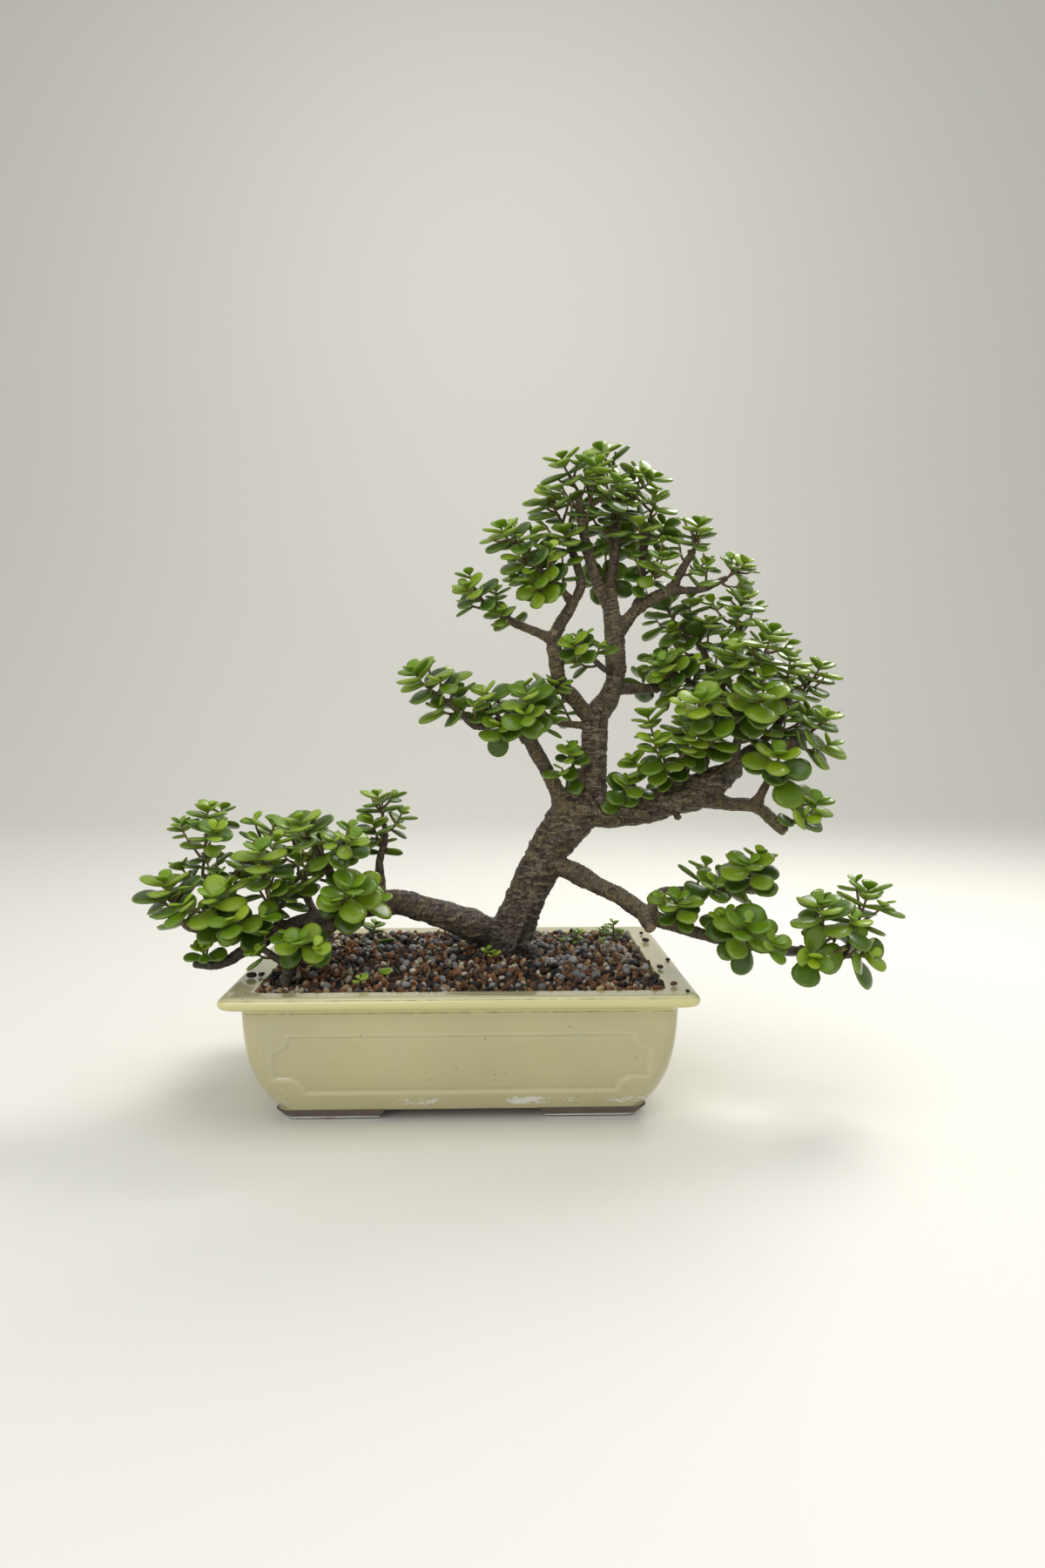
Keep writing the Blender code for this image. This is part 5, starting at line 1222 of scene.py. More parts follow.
# A shoot's row is (foot, tip, size of its leaves, how many side sprigs it has), in millimetres.
SHOOTS = {
    "shoot_far_left_tall": ((-145, -18, 53), (-141, -20, 90), 0.85, 3),
    "shoot_far_left_end": ((-152, -41, 35), (-157, -46, 53), 1.05, 3),
    "shoot_far_left_front": ((-133, -34, 25), (-131, -52, 46), 1.10, 3),
    "shoot_far_left_stub": ((-138, -36, 7), (-138, -46, 18), 0.65, 1),
    "shoot_left_middle": ((-115, -31, 24), (-119, -60, 36), 0.95, 3),
    "shoot_left_back": ((-122, -6, 58), (-108, -2, 80), 0.90, 3),
    "shoot_left_twig_d": ((-105, -40, 49), (-107, -50, 70), 0.95, 3),
    "shoot_left_twig_a": ((-93, -12, 53), (-99, 4, 78), 0.90, 3),
    "shoot_left_twig_b": ((-80, -34, 69), (-86, -42, 86), 0.95, 3),
    "shoot_left_twig_g": ((-69, -38, 66), (-58, -50, 76), 0.90, 3),
    "shoot_left_rosette": ((-66, -24, 34), (-58, -54, 51), 1.10, 3),
    "shoot_left_inner": ((-45, -8, 80), (-49, -6, 96), 0.85, 3),
    "shoot_dropping": ((-80, -43, 17), (-84, -66, 26), 0.90, 2),
    "shoot_arm_end": ((-9, -32, 149), (-25, -42, 164), 1.00, 2),
    "shoot_arm_middle": ((21, -18, 138), (12, -32, 153), 1.05, 2),
    "shoot_arm_elbow": ((42, -20, 138), (34, -40, 152), 1.00, 2),
    "shoot_arm_back": ((42, -4, 144), (51, -10, 160), 0.85, 2),
    "shoot_knuckle": ((64, 2, 109), (60, -14, 121), 0.70, 1),
    "shoot_crown_cut": ((65, -4, 267), (55, -12, 284), 0.90, 3),
    "shoot_crown_front": ((69, 0, 247), (74, -16, 280), 0.95, 3),
    "shoot_crown_top": ((90, 22, 283), (80, 16, 296), 1.00, 3),
    "shoot_crown_right": ((91, 20, 270), (110, 8, 279), 0.90, 3),
    "shoot_crown_back": ((88, 16, 235), (97, 36, 254), 0.95, 3),
    "shoot_crown_inner": ((107, 14, 252), (110, 2, 268), 0.85, 3),
    "shoot_crown_left": ((58, 6, 249), (48, -4, 267), 0.95, 3),
    "shoot_crown_far_left": ((33, -20, 230), (21, -30, 242), 0.90, 3),
    "shoot_crown_low_left": ((53, -9, 214), (37, -30, 217), 0.95, 3),
    "shoot_crown_arm_end": ((13, -26, 202), (3, -36, 210), 0.85, 3),
    "shoot_crown_out": ((130, -6, 234), (132, -10, 249), 0.80, 3),
    "shoot_crown_side": ((103, 8, 214), (112, -12, 230), 0.85, 3),
    "shoot_crown_far_out": ((146, -20, 217), (154, -28, 224), 0.75, 3),
    "shoot_leader_side": ((68, -14, 176), (60, -26, 181), 0.80, 2),
    "shoot_back_low": ((86, 14, 219), (84, 38, 226), 0.95, 2),
    "shoot_top_g": ((125, 24, 197), (121, 30, 210), 0.95, 3),
    "shoot_top_e": ((126, 4, 163), (113, -10, 172), 0.80, 3),
    "shoot_top_f": ((125, 22, 163), (116, 40, 178), 0.90, 3),
    "shoot_heavy_front": ((122, -6, 100), (104, -34, 128), 0.85, 3),
    "shoot_top_b": ((159, -32, 164), (166, -42, 186), 1.00, 2),
    "shoot_top_b_front": ((155, -24, 140), (158, -56, 154), 1.10, 2),
    "shoot_top_c": ((197, 6, 155), (205, -2, 170), 0.95, 2),
    "shoot_top_c_up": ((184, 1, 142), (184, -14, 174), 0.95, 2),
    "shoot_top_h": ((158, 6, 199), (160, 0, 210), 0.85, 3),
    "shoot_top_a": ((141, -20, 135), (126, -50, 150), 1.05, 3),
    "shoot_heavy_out": ((192, -26, 131), (199, -34, 141), 0.80, 2),
    "shoot_heavy_drop": ((173, -24, 110), (170, -44, 120), 1.15, 0),
    "shoot_heavy_drop_end": ((180, -22, 78), (194, -36, 94), 0.95, 1),
    "shoot_low_right_upper": ((161, -30, 46), (154, -46, 62), 1.00, 2),
    "shoot_low_right_near": ((118, -24, 24), (117, -42, 42), 0.85, 2),
    "shoot_low_right_front": ((150, -32, 17), (150, -60, 32), 1.10, 2),
    "shoot_low_right_end": ((213, -41, 21), (222, -38, 46), 1.05, 2),
    "shoot_low_right_tall": ((196, -46, 12), (190, -58, 42), 1.10, 2),
}
# Sprigs also stand along the twigs: (share of the twig that is bare, gap, sprig length, leaf size).
LEAFY_LIMBS = {
    "top_a": (0.45, 6.0, 16, 0.90), "top_b": (0.35, 5.5, 18, 0.95), "top_c": (0.35, 5.5, 17, 0.90),
    "top_d": (0.30, 6.0, 19, 0.95), "top_e": (0.30, 5.5, 16, 0.85), "top_f": (0.50, 6.5, 16, 0.85),
    "top_g": (0.20, 5.5, 17, 0.90), "top_h": (0.25, 5.5, 18, 0.90), "heavy_out": (0.60, 7.0, 14, 0.90),
    "leader_back": (0.40, 6.0, 19, 0.95), "leader_cut": (0.76, 6.0, 14, 0.90),
    "leader_right_up": (0.40, 6.5, 16, 0.85),
    "leader_right": (0.78, 7.0, 12, 0.80), "leader_right_out": (0.65, 6.0, 11, 0.75),
    "leader_side": (0.55, 5.0, 11, 0.75),
    "arm_up": (0.72, 5.5, 17, 0.90), "arm_up_left": (0.25, 5.5, 15, 0.85),
    "arm_left": (0.52, 6.0, 10, 0.75),
    "left_arm_out": (0.22, 6.0, 15, 0.95), "left_arm_back": (0.35, 6.0, 13, 0.80),
    "left_arm_stub": (0.50, 6.0, 12, 0.90),
    "twig_a": (0.45, 5.5, 15, 0.90), "twig_b": (0.50, 5.5, 16, 0.95), "twig_c": (0.60, 6.0, 13, 0.80),
    "twig_d": (0.40, 5.5, 15, 0.90), "twig_e": (0.30, 5.5, 15, 0.90), "twig_f": (0.40, 5.5, 13, 0.85),
    "twig_g": (0.40, 5.5, 14, 0.90), "low_left_far": (0.35, 6.5, 15, 0.95),
    "dropping_fork": (0.45, 6.0, 10, 0.70),
    "low_right_upper": (0.50, 8.0, 13, 0.95), "low_right_tip": (0.40, 7.0, 15, 1.00),
}
# Some sprigs lean out to the front and carry their largest leaves flat to it:
# (foot, tip, leaf size, how far the leaves level themselves).
FRONT_SPRIGS = {
    "shoot_low_right_front": [((155, -33, 16), (160, -55, 22), 1.15, 0.05),
                              ((140, -29, 17), (141, -44, 33), 0.95, 0.4)],
    "shoot_low_right_tall": [((196, -46, 12), (203, -60, 18), 1.15, 0.05)],
    "shoot_low_right_end": [((186, -44, 13), (185, -59, 13), 1.10, 0.05),
                            ((205, -46, 10), (216, -56, 14), 1.05, 0.1)],
    "shoot_heavy_front": [((88, 0, 91), (92, -17, 104), 0.80, 0.2),
                          ((93, 2, 90), (98, -19, 113), 0.85, 0.4)],
    "shoot_knuckle": [((66, 4, 104), (55, -15, 112), 0.80, 0.6)],
    "shoot_heavy_drop": [((172, -23, 108), (176, -40, 108), 1.20, 0.05)],
    "shoot_heavy_drop_end": [((180, -22, 80), (186, -40, 86), 1.10, 0.05)],
    "shoot_left_rosette": [((-56, -18, 33), (-50, -40, 47), 1.05, 0.2)],
}
LEAF_LENGTH = 16.3 * MM
PAIR_GAPS = (1.9, 3.0, 3.9, 4.5, 5.0, 5.4, 5.8, 6.2, 6.6)
PAIR_SIZES = (0.50, 0.76, 0.94, 1.0, 1.0, 0.96, 0.90, 0.84, 0.8, 0.75)
PAIR_LIFTS = (60, 40, 26, 16, 9, 4, 0, -3, -5, -6)
PAIR_YOUTH = (1.0, 0.62, 0.28, 0.10, 0.0, 0.0, 0.0, 0.0, 0.0, 0.0)


def leaf_shape(name, width, cup, droop):
    """A thick spoon-shaped leaf of unit length along X, its upper side to Z, with 64 faces."""
    rows = [(0.0, 0.17, 0.045), (0.08, 0.24, 0.058), (0.21, 0.50, 0.076), (0.38, 0.80, 0.090),
            (0.56, 0.99, 0.096), (0.73, 0.98, 0.092), (0.87, 0.78, 0.078), (0.955, 0.50, 0.058),
            (0.995, 0.20, 0.030)]
    section = [(1.0, 0.0), (0.62, 0.80), (0.0, 1.0), (-0.62, 0.80), (-1.0, 0.0), (-0.62, -0.86),
               (0.0, -1.0), (0.62, -0.86)]
    points, margin, under = [], [], []
    for t, w, h in rows:
        for across, up in section:
            hollow = cup * across * across * w
            points.append((t, across * w * width / 2, up * h + hollow + droop * t * t))
            margin.append(max(abs(across) ** 2.5, smooth_step(0.86, 1.0, t)))
            under.append(1.0 if up < 0 else 0.5 if up == 0 else 0.0)
    faces = []
    for row in range(len(rows) - 1):
        for k in range(8):
            j = (k + 1) % 8
            faces.append((row * 8 + k, row * 8 + j, row * 8 + 8 + j, row * 8 + 8 + k))
    faces.append(tuple(range(8))[::-1])
    faces.append(tuple(len(points) - 8 + k for k in range(8)))
    obj = mesh_object(name, points, faces, margin=margin, under=under)
    bm = bmesh.new()
    bm.from_mesh(obj.data)
    bmesh.ops.recalc_face_normals(bm, faces=bm.faces)
    bm.to_mesh(obj.data)
    bm.free()
    obj.hide_render = True
    return obj


def leafy_stem_tree():
    """Round stems along the drawn routes, with a leaf to either side at each point marked as a node."""
    tree, start, end = new_geometry_tree("leafy_stems", [
        ("Round leaf", "NodeSocketObject"), ("Long leaf", "NodeSocketObject"),
        ("Broad leaf", "NodeSocketObject"), ("Stem sides", "NodeSocketInt"), ("Seed", "NodeSocketInt"),
        ("Leaf finish", "NodeSocketMaterial"), ("Stem finish", "NodeSocketMaterial")])
    take = {socket.name: socket for socket in start.outputs}

    def named(name, kind="FLOAT"):
        return add_node(tree, "GeometryNodeInputNamedAttribute", {"Name": name},
                        data_type=kind).outputs[0]

    route = add_node(tree, "GeometryNodeMeshToCurve", {"Mesh": take["Geometry"]})
    bar = add_node(tree, "GeometryNodeCurvePrimitiveCircle",
                   {"Resolution": take["Stem sides"], "Radius": 1.0})
    stems = add_node(tree, "GeometryNodeCurveToMesh", {
        "Curve": route.outputs[0], "Profile Curve": bar.outputs[0], "Scale": named("girth"),
        "Fill Caps": True})
    barked = add_node(tree, "GeometryNodeSetMaterial",
                      {"Geometry": stems.outputs[0], "Material": take["Stem finish"]})
    shapes = tree.nodes.new("GeometryNodeJoinGeometry")
    for kind in ("Round leaf", "Long leaf", "Broad leaf"):
        shape = add_node(tree, "GeometryNodeObjectInfo", {"Object": take[kind]}).outputs["Geometry"]
        tree.links.new(add_node(tree, "GeometryNodeGeometryToInstance", {"Geometry": shape}).outputs[0],
                       shapes.inputs[0])
    both = tree.nodes.new("GeometryNodeJoinGeometry")
    for side in ("left", "right"):
        pick = add_node(tree, "FunctionNodeRandomValue",
                        {4: 0, 5: 2, 8: plus(tree, take["Seed"], 1.0 if side == "left" else 2.0)},
                        data_type="INT").outputs[2]
        turn = add_node(tree, "FunctionNodeEulerToRotation",
                        {0: named("turn_" + side, "FLOAT_VECTOR")}).outputs[0]
        leaves = add_node(tree, "GeometryNodeInstanceOnPoints", {
            "Points": take["Geometry"], "Selection": named("size_" + side), "Instance": shapes.outputs[0],
            "Pick Instance": True, "Instance Index": pick, "Rotation": turn,
            "Scale": named("size_" + side)})
        tinted = add_node(tree, "GeometryNodeStoreNamedAttribute", {
            "Geometry": leaves.outputs[0], "Name": "tint",
            "Value": random_value(tree, "FLOAT", 0.0, 1.0, 9)}, data_type="FLOAT", domain="INSTANCE")
        tree.links.new(tinted.outputs[0], both.inputs[0])
    solid = add_node(tree, "GeometryNodeRealizeInstances", {"Geometry": both.outputs[0]})
    glossy = add_node(tree, "GeometryNodeSetMaterial",
                      {"Geometry": solid.outputs[0], "Material": take["Leaf finish"]})
    whole = tree.nodes.new("GeometryNodeJoinGeometry")
    tree.links.new(barked.outputs[0], whole.inputs[0])
    tree.links.new(glossy.outputs[0], whole.inputs[0])
    smooth = add_node(tree, "GeometryNodeSetShadeSmooth",
                      {"Geometry": whole.outputs[0], "Shade Smooth": True})
    tree.links.new(smooth.outputs[0], end.inputs[0])
    return tree


wood_centres = np.array([s[0] for s in stations] + [p for limb in thin_limbs for p in limb[3]])
wood_radii = np.array([s[1] for s in stations] + [r for limb in thin_limbs for r in limb[4]])
leaf_places = []


def unit(vector):
    return vector / max(np.linalg.norm(vector), 1e-9)


def is_free(place, length, own):
    """Whether a leaf's middle is outside the wood and away from the leaves of other stems."""
    if np.min(np.linalg.norm(wood_centres - place, axis=1) - wood_radii) < 0.9 * MM:
        return False
    return all(stem == own or np.linalg.norm(place - other) > 0.30 * (length + size)
               for other, size, stem in leaf_places)


def leaf_turn(way, normal):
    """Euler angles that lay a leaf along way with its upper side towards normal."""
    side = np.cross(normal, way)
    turn = Matrix((way, side, normal)).transposed()
    return tuple(turn.to_euler())


class Stems:
    """The routes of one shoot's stems, with the leaves that stand at their nodes."""

    def __init__(self):
        self.points, self.edges = [], []
        self.values = {key: [] for key in ("girth", "youth", "size_left", "size_right")}
        self.turns = {"turn_left": [], "turn_right": []}

    def add(self, foot, tip, lead, size, rng, own, vigour, level=0.62):
        """One stem from foot to tip that sets off along lead, with its pairs of leaves more or less level."""
        span = np.linalg.norm(tip - foot)
        way = unit(tip - foot)
        a = foot + unit(lead) * span * 0.33
        b = tip - unit(way + np.array((0, 0, 1.8 * level))) * span * 0.36
        t = np.linspace(0, 1, 60)[:, None]
        curve = foot * (1 - t) ** 3 + 3 * a * t * (1 - t) ** 2 + 3 * b * t * t * (1 - t) + tip * t ** 3
        along = np.concatenate([[0], np.cumsum(np.linalg.norm(np.diff(curve, axis=0), axis=1))])
        length = along[-1]
        nodes, back = [length - 0.4 * MM], 0.4 * MM
        for gap in PAIR_GAPS:
            back += gap * MM * (0.62 + 0.38 * size) * rng.uniform(0.88, 1.15)
            if length - back < 3.2 * MM:
                break
            nodes.append(length - back)
        steps = sorted(set(nodes) | set(np.linspace(0, length, max(4, int(length / (2.0 * MM)) + 1))))
        points = np.stack([np.interp(steps, along, curve[:, k]) for k in range(3)], axis=1)
        ways, sides, ups = frames_along(points)
        base = len(self.points)
        roll = rng.uniform(0, math.pi)
        for index, (place, point) in enumerate(zip(steps, points)):
            share = place / length
            pair = nodes.index(place) if place in nodes else None
            swell = 1.22 if pair is not None else 1.0
            self.points.append(tuple(point))
            if index:
                self.edges.append((base + index - 1, base + index))
            self.values["girth"].append((1.02 - 0.46 * share) * swell * MM * (0.50 + 0.45 * size))
            youth = 0.0 if pair is None else min(1.0, PAIR_YOUTH[pair] * vigour)
            self.values["youth"].append(max(youth, share ** 2 * 0.8))
            for side, sign in (("left", 1), ("right", -1)):
                leaf, turn = 0.0, (0.0, 0.0, 0.0)
                if pair is not None:
                    frame_here = (ways[index], sides[index], ups[index])
                    leaf, turn = self.leaf(point, frame_here, pair, sign, roll, size, rng, own, level)
                self.values["size_" + side].append(leaf)
                self.turns["turn_" + side].append(turn)

    def leaf(self, point, frame_here, pair, sign, roll, size, rng, own, level):
        way, side, up = frame_here
        angle = roll + pair * math.pi / 2 + rng.uniform(-0.22, 0.22)
        out = sign * (side * math.cos(angle) + up * math.sin(angle))
        lift = math.radians(PAIR_LIFTS[pair] + rng.uniform(-9, 9))
        along = math.cos(lift) * out + math.sin(lift) * way
        normal = math.cos(lift) * way - math.sin(lift) * out
        normal = unit(normal + np.array((0, -0.08, level))
                      + np.array([rng.uniform(-0.20, 0.20) for _ in range(3)]))
        along = unit(along - np.dot(along, normal) * normal)
        length = LEAF_LENGTH * size * PAIR_SIZES[pair] * rng.uniform(0.86, 1.14)
        middle = point + along * length * 0.55
        if not is_free(middle, length, own):
            return 0.0, (0.0, 0.0, 0.0)
        leaf_places.append((middle, length, own))
        return length, leaf_turn(along, normal)

    def mesh(self, name):
        mesh = bpy.data.meshes.new(name)
        mesh.from_pydata(self.points, self.edges, [])
        for key, numbers in self.values.items():
            mesh.attributes.new(key, "FLOAT", "POINT").data.foreach_set("value", numbers)
        for key, numbers in self.turns.items():
            mesh.attributes.new(key, "FLOAT_VECTOR",
                                "POINT").data.foreach_set("vector", np.array(numbers).ravel())
        return bpy.data.objects.new(name, mesh)


def tree_place(x, y, height):
    return np.array((POT_X + x * MM, y * MM, SOIL_LEVEL + height * MM))


def leaf_finish():
    made, tree, shader = new_material("glossy_succulent_leaf", 0.34, IOR=1.42, Coat_Weight=0.12,
                                      Coat_Roughness=0.10, Subsurface_Weight=0.10, Subsurface_Scale=0.002)
    shader.inputs["Subsurface Radius"].default_value = (0.6, 1.0, 0.15)
    tint, youth = attribute(tree, "tint"), attribute(tree, "youth")
    margin, under = attribute(tree, "margin"), attribute(tree, "under")
    clouds = cloudy(tree, 170.0, detail=3.0, contrast=1.6, shift=0.0)
    pores = cloudy(tree, 2600.0, detail=2.0, contrast=1.4, shift=0.3)
    deep = mix_colour(tree, tint, colour(0.014, 0.048, 0.003), colour(0.060, 0.130, 0.006))
    deep = tinge(tree, deep, clouds, 0.40, (0.080, 0.150, 0.009))
    fresh = mix_colour(tree, tint, colour(0.170, 0.320, 0.008), colour(0.330, 0.460, 0.022))
    age = math_node(tree, "MULTIPLY_ADD", tint, 0.22, math_node(tree, "SUBTRACT", youth, 0.08),
                    clamp=True)
    base = mix_colour(tree, age, deep, fresh)
    base = tinge(tree, base, under, 0.35, (0.085, 0.150, 0.022))
    rim = times(tree, math_node(tree, "POWER", margin, 3.0), 0.42)
    base = mix_colour(tree, rim, base, colour(0.270, 0.380, 0.050))
    spots = dotted(tree, 260.0, size=0.16, how_many=0.10)
    base = tinge(tree, base, spots, 0.45, (0.070, 0.055, 0.020))
    tree.links.new(base, shader.inputs["Base Color"])
    tree.links.new(math_node(tree, "MULTIPLY_ADD", clouds, 0.16, 0.22), shader.inputs["Roughness"])
    add_bump(tree, shader, 0.25, 0.0002, plus(tree, pores, times(tree, clouds, 2.0)))
    return made


def stem_finish():
    made, tree, shader = new_material("young_stem_skin", 0.45)
    youth = attribute(tree, "youth")
    clouds = cloudy(tree, 420.0, detail=4.0, contrast=2.0, shift=0.5)
    old = mix_colour(tree, clouds, colour(0.075, 0.038, 0.022), colour(0.150, 0.100, 0.040))
    new = mix_colour(tree, clouds, colour(0.200, 0.150, 0.030), colour(0.270, 0.270, 0.055))
    base = mix_colour(tree, map_range(tree, youth, 0.15, 0.75), old, new)
    tree.links.new(base, shader.inputs["Base Color"])
    tree.links.new(math_node(tree, "MULTIPLY_ADD", clouds, 0.2, 0.38), shader.inputs["Roughness"])
    add_bump(tree, shader, 0.5, 0.0003, clouds)
    return made


def twig_sprigs():
    """Sprigs along the leafy twigs, at golden-angle turns, sorted by the nearest shoot."""
    feet = {name: tree_place(*row[0]) for name, row in SHOOTS.items()}
    kept = {name: [] for name in SHOOTS}
    rows_of = {limb[0]: limb[3] for limb in LIMBS}
    for number, (limb_name, (bare, gap, reach, size)) in enumerate(LEAFY_LIMBS.items()):
        rng = random.Random(900 + number)
        points, radii, along = limb_stations(rows_of[limb_name], ROUTE_STEP)
        ways, sides, ups = frames_along(points)
        place, angle = along[-1] * bare, rng.uniform(0, 6.28)
        while place < along[-1] - 1.5 * MM:
            k = int(np.searchsorted(along, place))
            out = sides[k] * math.cos(angle) + ups[k] * math.sin(angle)
            heading = unit(out * 0.85 + ways[k] * 0.40 + np.array((0, 0, 0.55)))
            if heading[2] > -0.15:
                length = reach * MM * rng.uniform(0.75, 1.2) + radii[k]
                nearest = min(feet, key=lambda shoot: np.linalg.norm(feet[shoot] - points[k]))
                kept[nearest].append((points[k], points[k] + heading * length, out,
                                      size * rng.uniform(0.85, 1.1)))
            place += gap * MM * rng.uniform(0.8, 1.25)
            angle += 2.4
    return kept


leafy = leafy_stem_tree()
leaf_skin, stem_skin = leaf_finish(), stem_finish()
round_leaf = leaf_shape("round_leaf_shape", 0.94, 0.050, 0.03)
long_leaf = leaf_shape("long_leaf_shape", 0.73, 0.035, -0.05)
broad_leaf = leaf_shape("broad_leaf_shape", 0.84, 0.070, -0.02)


def grow_leafy(name, routes, sides, seed):
    """The stems and leaves along a set of routes, as one mesh."""
    made = grow(name, routes, leafy, Round_leaf=round_leaf, Long_leaf=long_leaf, Broad_leaf=broad_leaf,
                Stem_sides=sides, Seed=seed, Leaf_finish=leaf_skin, Stem_finish=stem_skin)
    bpy.data.objects.remove(routes)
    return made


along_twigs = twig_sprigs()
for number, (name, (foot, tip, size, sprigs)) in enumerate(SHOOTS.items()):
    rng = random.Random(number * 7 + 3)
    stems = Stems()
    foot, tip = tree_place(*foot), tree_place(*tip)
    vigour = rng.uniform(0.7, 1.2)
    span = np.linalg.norm(tip - foot)
    way = unit(tip - foot)
    stems.add(foot, tip, way, size, rng, (number, 0), vigour)
    spin = rng.uniform(0, 2 * math.pi)
    across = unit(np.cross(way, (0.31, 0.2, 0.93)))
    other = np.cross(way, across)
    for sprig in range(sprigs):
        share = 0.10 + 0.45 * (sprig + rng.uniform(0.2, 0.8)) / sprigs
        angle = spin + sprig * 2.4
        out = across * math.cos(angle) + other * math.sin(angle)
        lean = math.radians(rng.uniform(42, 66))
        heading = unit(way * math.cos(lean) + out * math.sin(lean) + np.array((0, -0.05, 0.40)))
        start = foot + (tip - foot) * share
        stems.add(start, start + heading * max(span * rng.uniform(0.50, 0.78), 9 * MM), heading,
                  size * rng.uniform(0.78, 0.95), rng, (number, sprig + 1), vigour)
    for sprig, (low, high, out, sprig_size) in enumerate(along_twigs[name]):
        stems.add(low, high, out, sprig_size, rng, (number, sprig + 50), vigour)
    for sprig, (low, high, sprig_size, level) in enumerate(FRONT_SPRIGS.get(name, ())):
        low, high = tree_place(*low), tree_place(*high)
        stems.add(low, high, high - low, sprig_size, rng, (number, sprig + 90), vigour, level)
    shoot = grow_leafy(name + "_leaves", stems.mesh(name + "_routes"), sides=8, seed=number * 3)
    for key in ("girth", "size_left", "size_right", "turn_left", "turn_right"):
        if key in shoot.data.attributes:
            shoot.data.attributes.remove(shoot.data.attributes[key])
    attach(shoot, "root")
    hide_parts(name)


# ---------------------------------------------------------------- fallen leaves and weeds
# Two shed leaves lie on the soil, one flat and round, one half dried, and small seedlings have
# come up in the mix beside the trunk.
def shed_leaf(name, shape, x, y, turn, tilt, length, youth):
    mesh = shape.data.copy()
    mesh.name = name
    place = Vector((POT_X + x * MM, y * MM, soil_height(x * MM, y * MM) + 2.6 * MM))
    laid = Matrix.Rotation(math.radians(turn), 4, "Z") @ Matrix.Rotation(math.radians(tilt), 4, "X")
    centred = Matrix.Translation((-0.5, 0, 0))
    mesh.transform(Matrix.Translation(place) @ laid @ Matrix.Diagonal((length, length, length,
                                                                       1)) @ centred)
    for key, value in (("tint", 0.35), ("youth", youth)):
        mesh.attributes.new(key, "FLOAT", "POINT").data.foreach_set("value", [value] * len(mesh.vertices))
    mesh.materials.append(leaf_skin)
    leaf = new_object(name, mesh)
    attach(leaf, "root")
    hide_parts(name.replace("shed_leaf", "fallen_leaf"))


shed_leaf("shed_leaf_back", round_leaf, -48, 22, 25, -14, 11.5 * MM, 0.25)
shed_leaf("shed_leaf_front", long_leaf, -42, -42, -35, 20, 9.5 * MM, 0.6)

weeds = Stems()
for number, (x, y, reach, size) in enumerate((
        (14, -17, 7, 0.42), (17, -19, 6, 0.36), (10, -18, 5, 0.34), (64, 30, 11, 0.40), (67, 27, 8, 0.34),
        (79, 18, 7, 0.36), (92, 46, 12, 0.42), (97, 50, 8, 0.36), (86, 52, 7, 0.32), (-52, -62, 6, 0.38),
        (-60, 58, 8, 0.62), (60, 12, 7, 0.30))):
    rng = random.Random(4000 + number)
    foot = np.array((POT_X + x * MM, y * MM, soil_height(x * MM, y * MM)))
    lean = np.array((rng.uniform(-0.5, 0.5), rng.uniform(-0.7, 0.2), 1.0))
    weeds.add(foot, foot + unit(lean) * reach * MM, lean, size, rng, ("weed", number), 0.75)
weed = grow_leafy("soil_weeds", weeds.mesh("soil_weed_routes"), sides=6, seed=77)
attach(weed, "root")
for shape in (round_leaf, long_leaf, broad_leaf):
    bpy.data.objects.remove(shape)


# ---------------------------------------------------------------- floor, lights and camera
# A plain pale table top that curves up behind, one large soft window light high behind on the
# right, a broad soft light in front and a pale sky all round.
FLOOR_HALF = 4.0
FLOOR_LEVEL = -0.0002
BACK_START = 1.6
BACK_BEND = 1.2
BACK_TOP = 4.0
sweep_points, sweep_faces = [], []
for angle in np.linspace(0, math.pi / 2, 13):
    for x in (-FLOOR_HALF, FLOOR_HALF):
        sweep_points.append((x, BACK_START + BACK_BEND * math.sin(angle),
                             FLOOR_LEVEL + BACK_BEND * (1 - math.cos(angle))))
sweep_points = [(side * FLOOR_HALF, -FLOOR_HALF, FLOOR_LEVEL) for side in (-1, 1)] + sweep_points
sweep_points += [(side * FLOOR_HALF, BACK_START + BACK_BEND, BACK_TOP) for side in (-1, 1)]
for row in range(len(sweep_points) // 2 - 1):
    sweep_faces.append((2 * row, 2 * row + 1, 2 * row + 3, 2 * row + 2))
floor = mesh_object("pale_floor", sweep_points, sweep_faces)
floor_paint, floor_tree, floor_shader = new_material("pale_floor", 0.6)
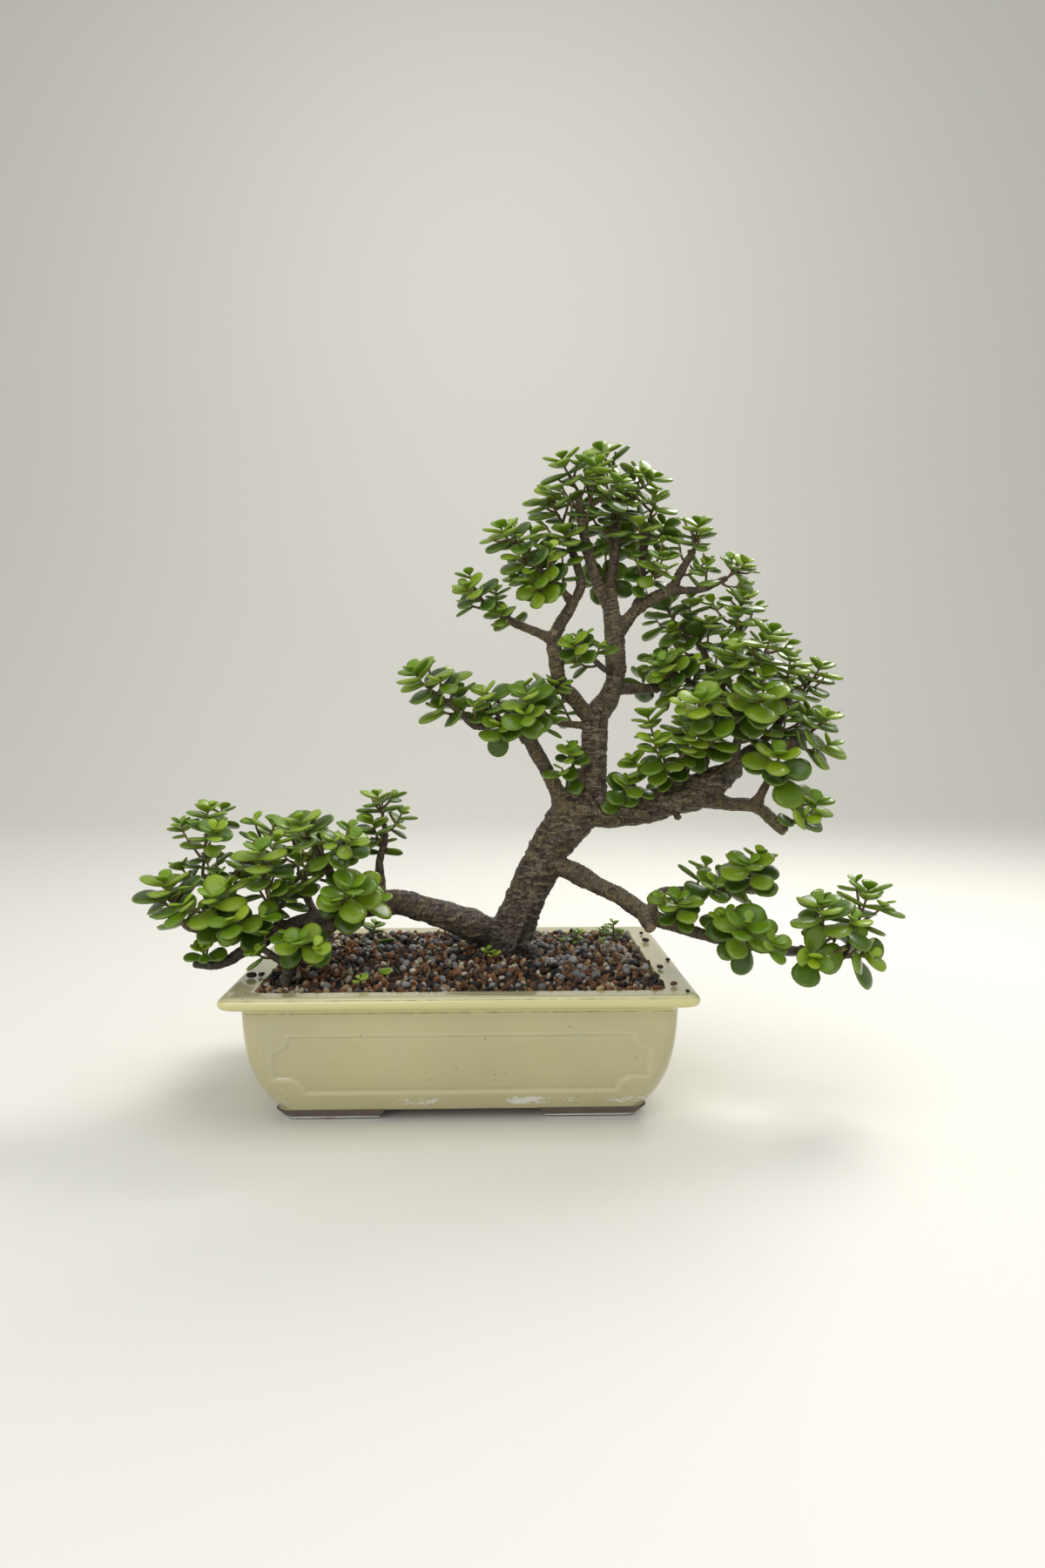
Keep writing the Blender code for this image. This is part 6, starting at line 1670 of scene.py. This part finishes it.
floor_shader.inputs["Base Color"].default_value = colour(0.80, 0.79, 0.745)
floor.data.materials.append(floor_paint)

world = bpy.data.worlds.new("pale_sky")
bpy.context.scene.world = world
world.use_nodes = True
world.node_tree.nodes["Background"].inputs["Color"].default_value = colour(0.99, 0.99, 0.95)
world.node_tree.nodes["Background"].inputs["Strength"].default_value = 0.50

for light_name, place, target, size, power, tint in (
    ("window_behind", (0.55, 0.55, 1.05), (0.0, 0.0, 0.12), 0.55, 9.0, (1.0, 0.98, 0.94)),
    ("soft_front", (-0.55, -1.15, 0.75), (0.0, 0.0, 0.12), 1.1, 7.0, (1.0, 0.99, 0.97)),
    ("overhead", (0.10, -0.15, 1.30), (0.0, 0.0, 0.10), 0.9, 4.5, (0.98, 0.99, 1.0)),
    ("backdrop_wash", (0.0, 1.15, 1.90), (0.0, 2.80, 0.75), 1.4, 11.0, (1.0, 0.99, 0.95)),
):
    lamp = bpy.data.lights.new(light_name, "AREA")
    lamp.shape = "SQUARE"
    lamp.size = size
    lamp.energy = power
    lamp.color = tint
    holder = bpy.data.objects.new(light_name, lamp)
    holder.location = place
    holder.rotation_euler = (Vector(target) - Vector(place)).to_track_quat("-Z", "Y").to_euler()
    bpy.context.scene.collection.objects.link(holder)

LENS_LENGTH = 23.72
SENSOR_HEIGHT = 36.0
YAW = math.radians(1.786894)
PITCH = math.radians(3.137018)
camera_data = bpy.data.cameras.new("front_camera")
camera_data.sensor_fit = "VERTICAL"
camera_data.sensor_height = SENSOR_HEIGHT
camera_data.lens = LENS_LENGTH
camera_data.clip_start = 0.01
camera = bpy.data.objects.new("front_camera", camera_data)
camera.location = (POT_X + 0.015, -0.594, 0.204)
looking = Vector((math.sin(YAW) * math.cos(PITCH), math.cos(YAW) * math.cos(PITCH), -math.sin(PITCH)))
camera.rotation_euler = looking.to_track_quat("-Z", "Y").to_euler()
bpy.context.scene.collection.objects.link(camera)
bpy.context.scene.camera = camera
bpy.context.scene.view_settings.view_transform = "Standard"
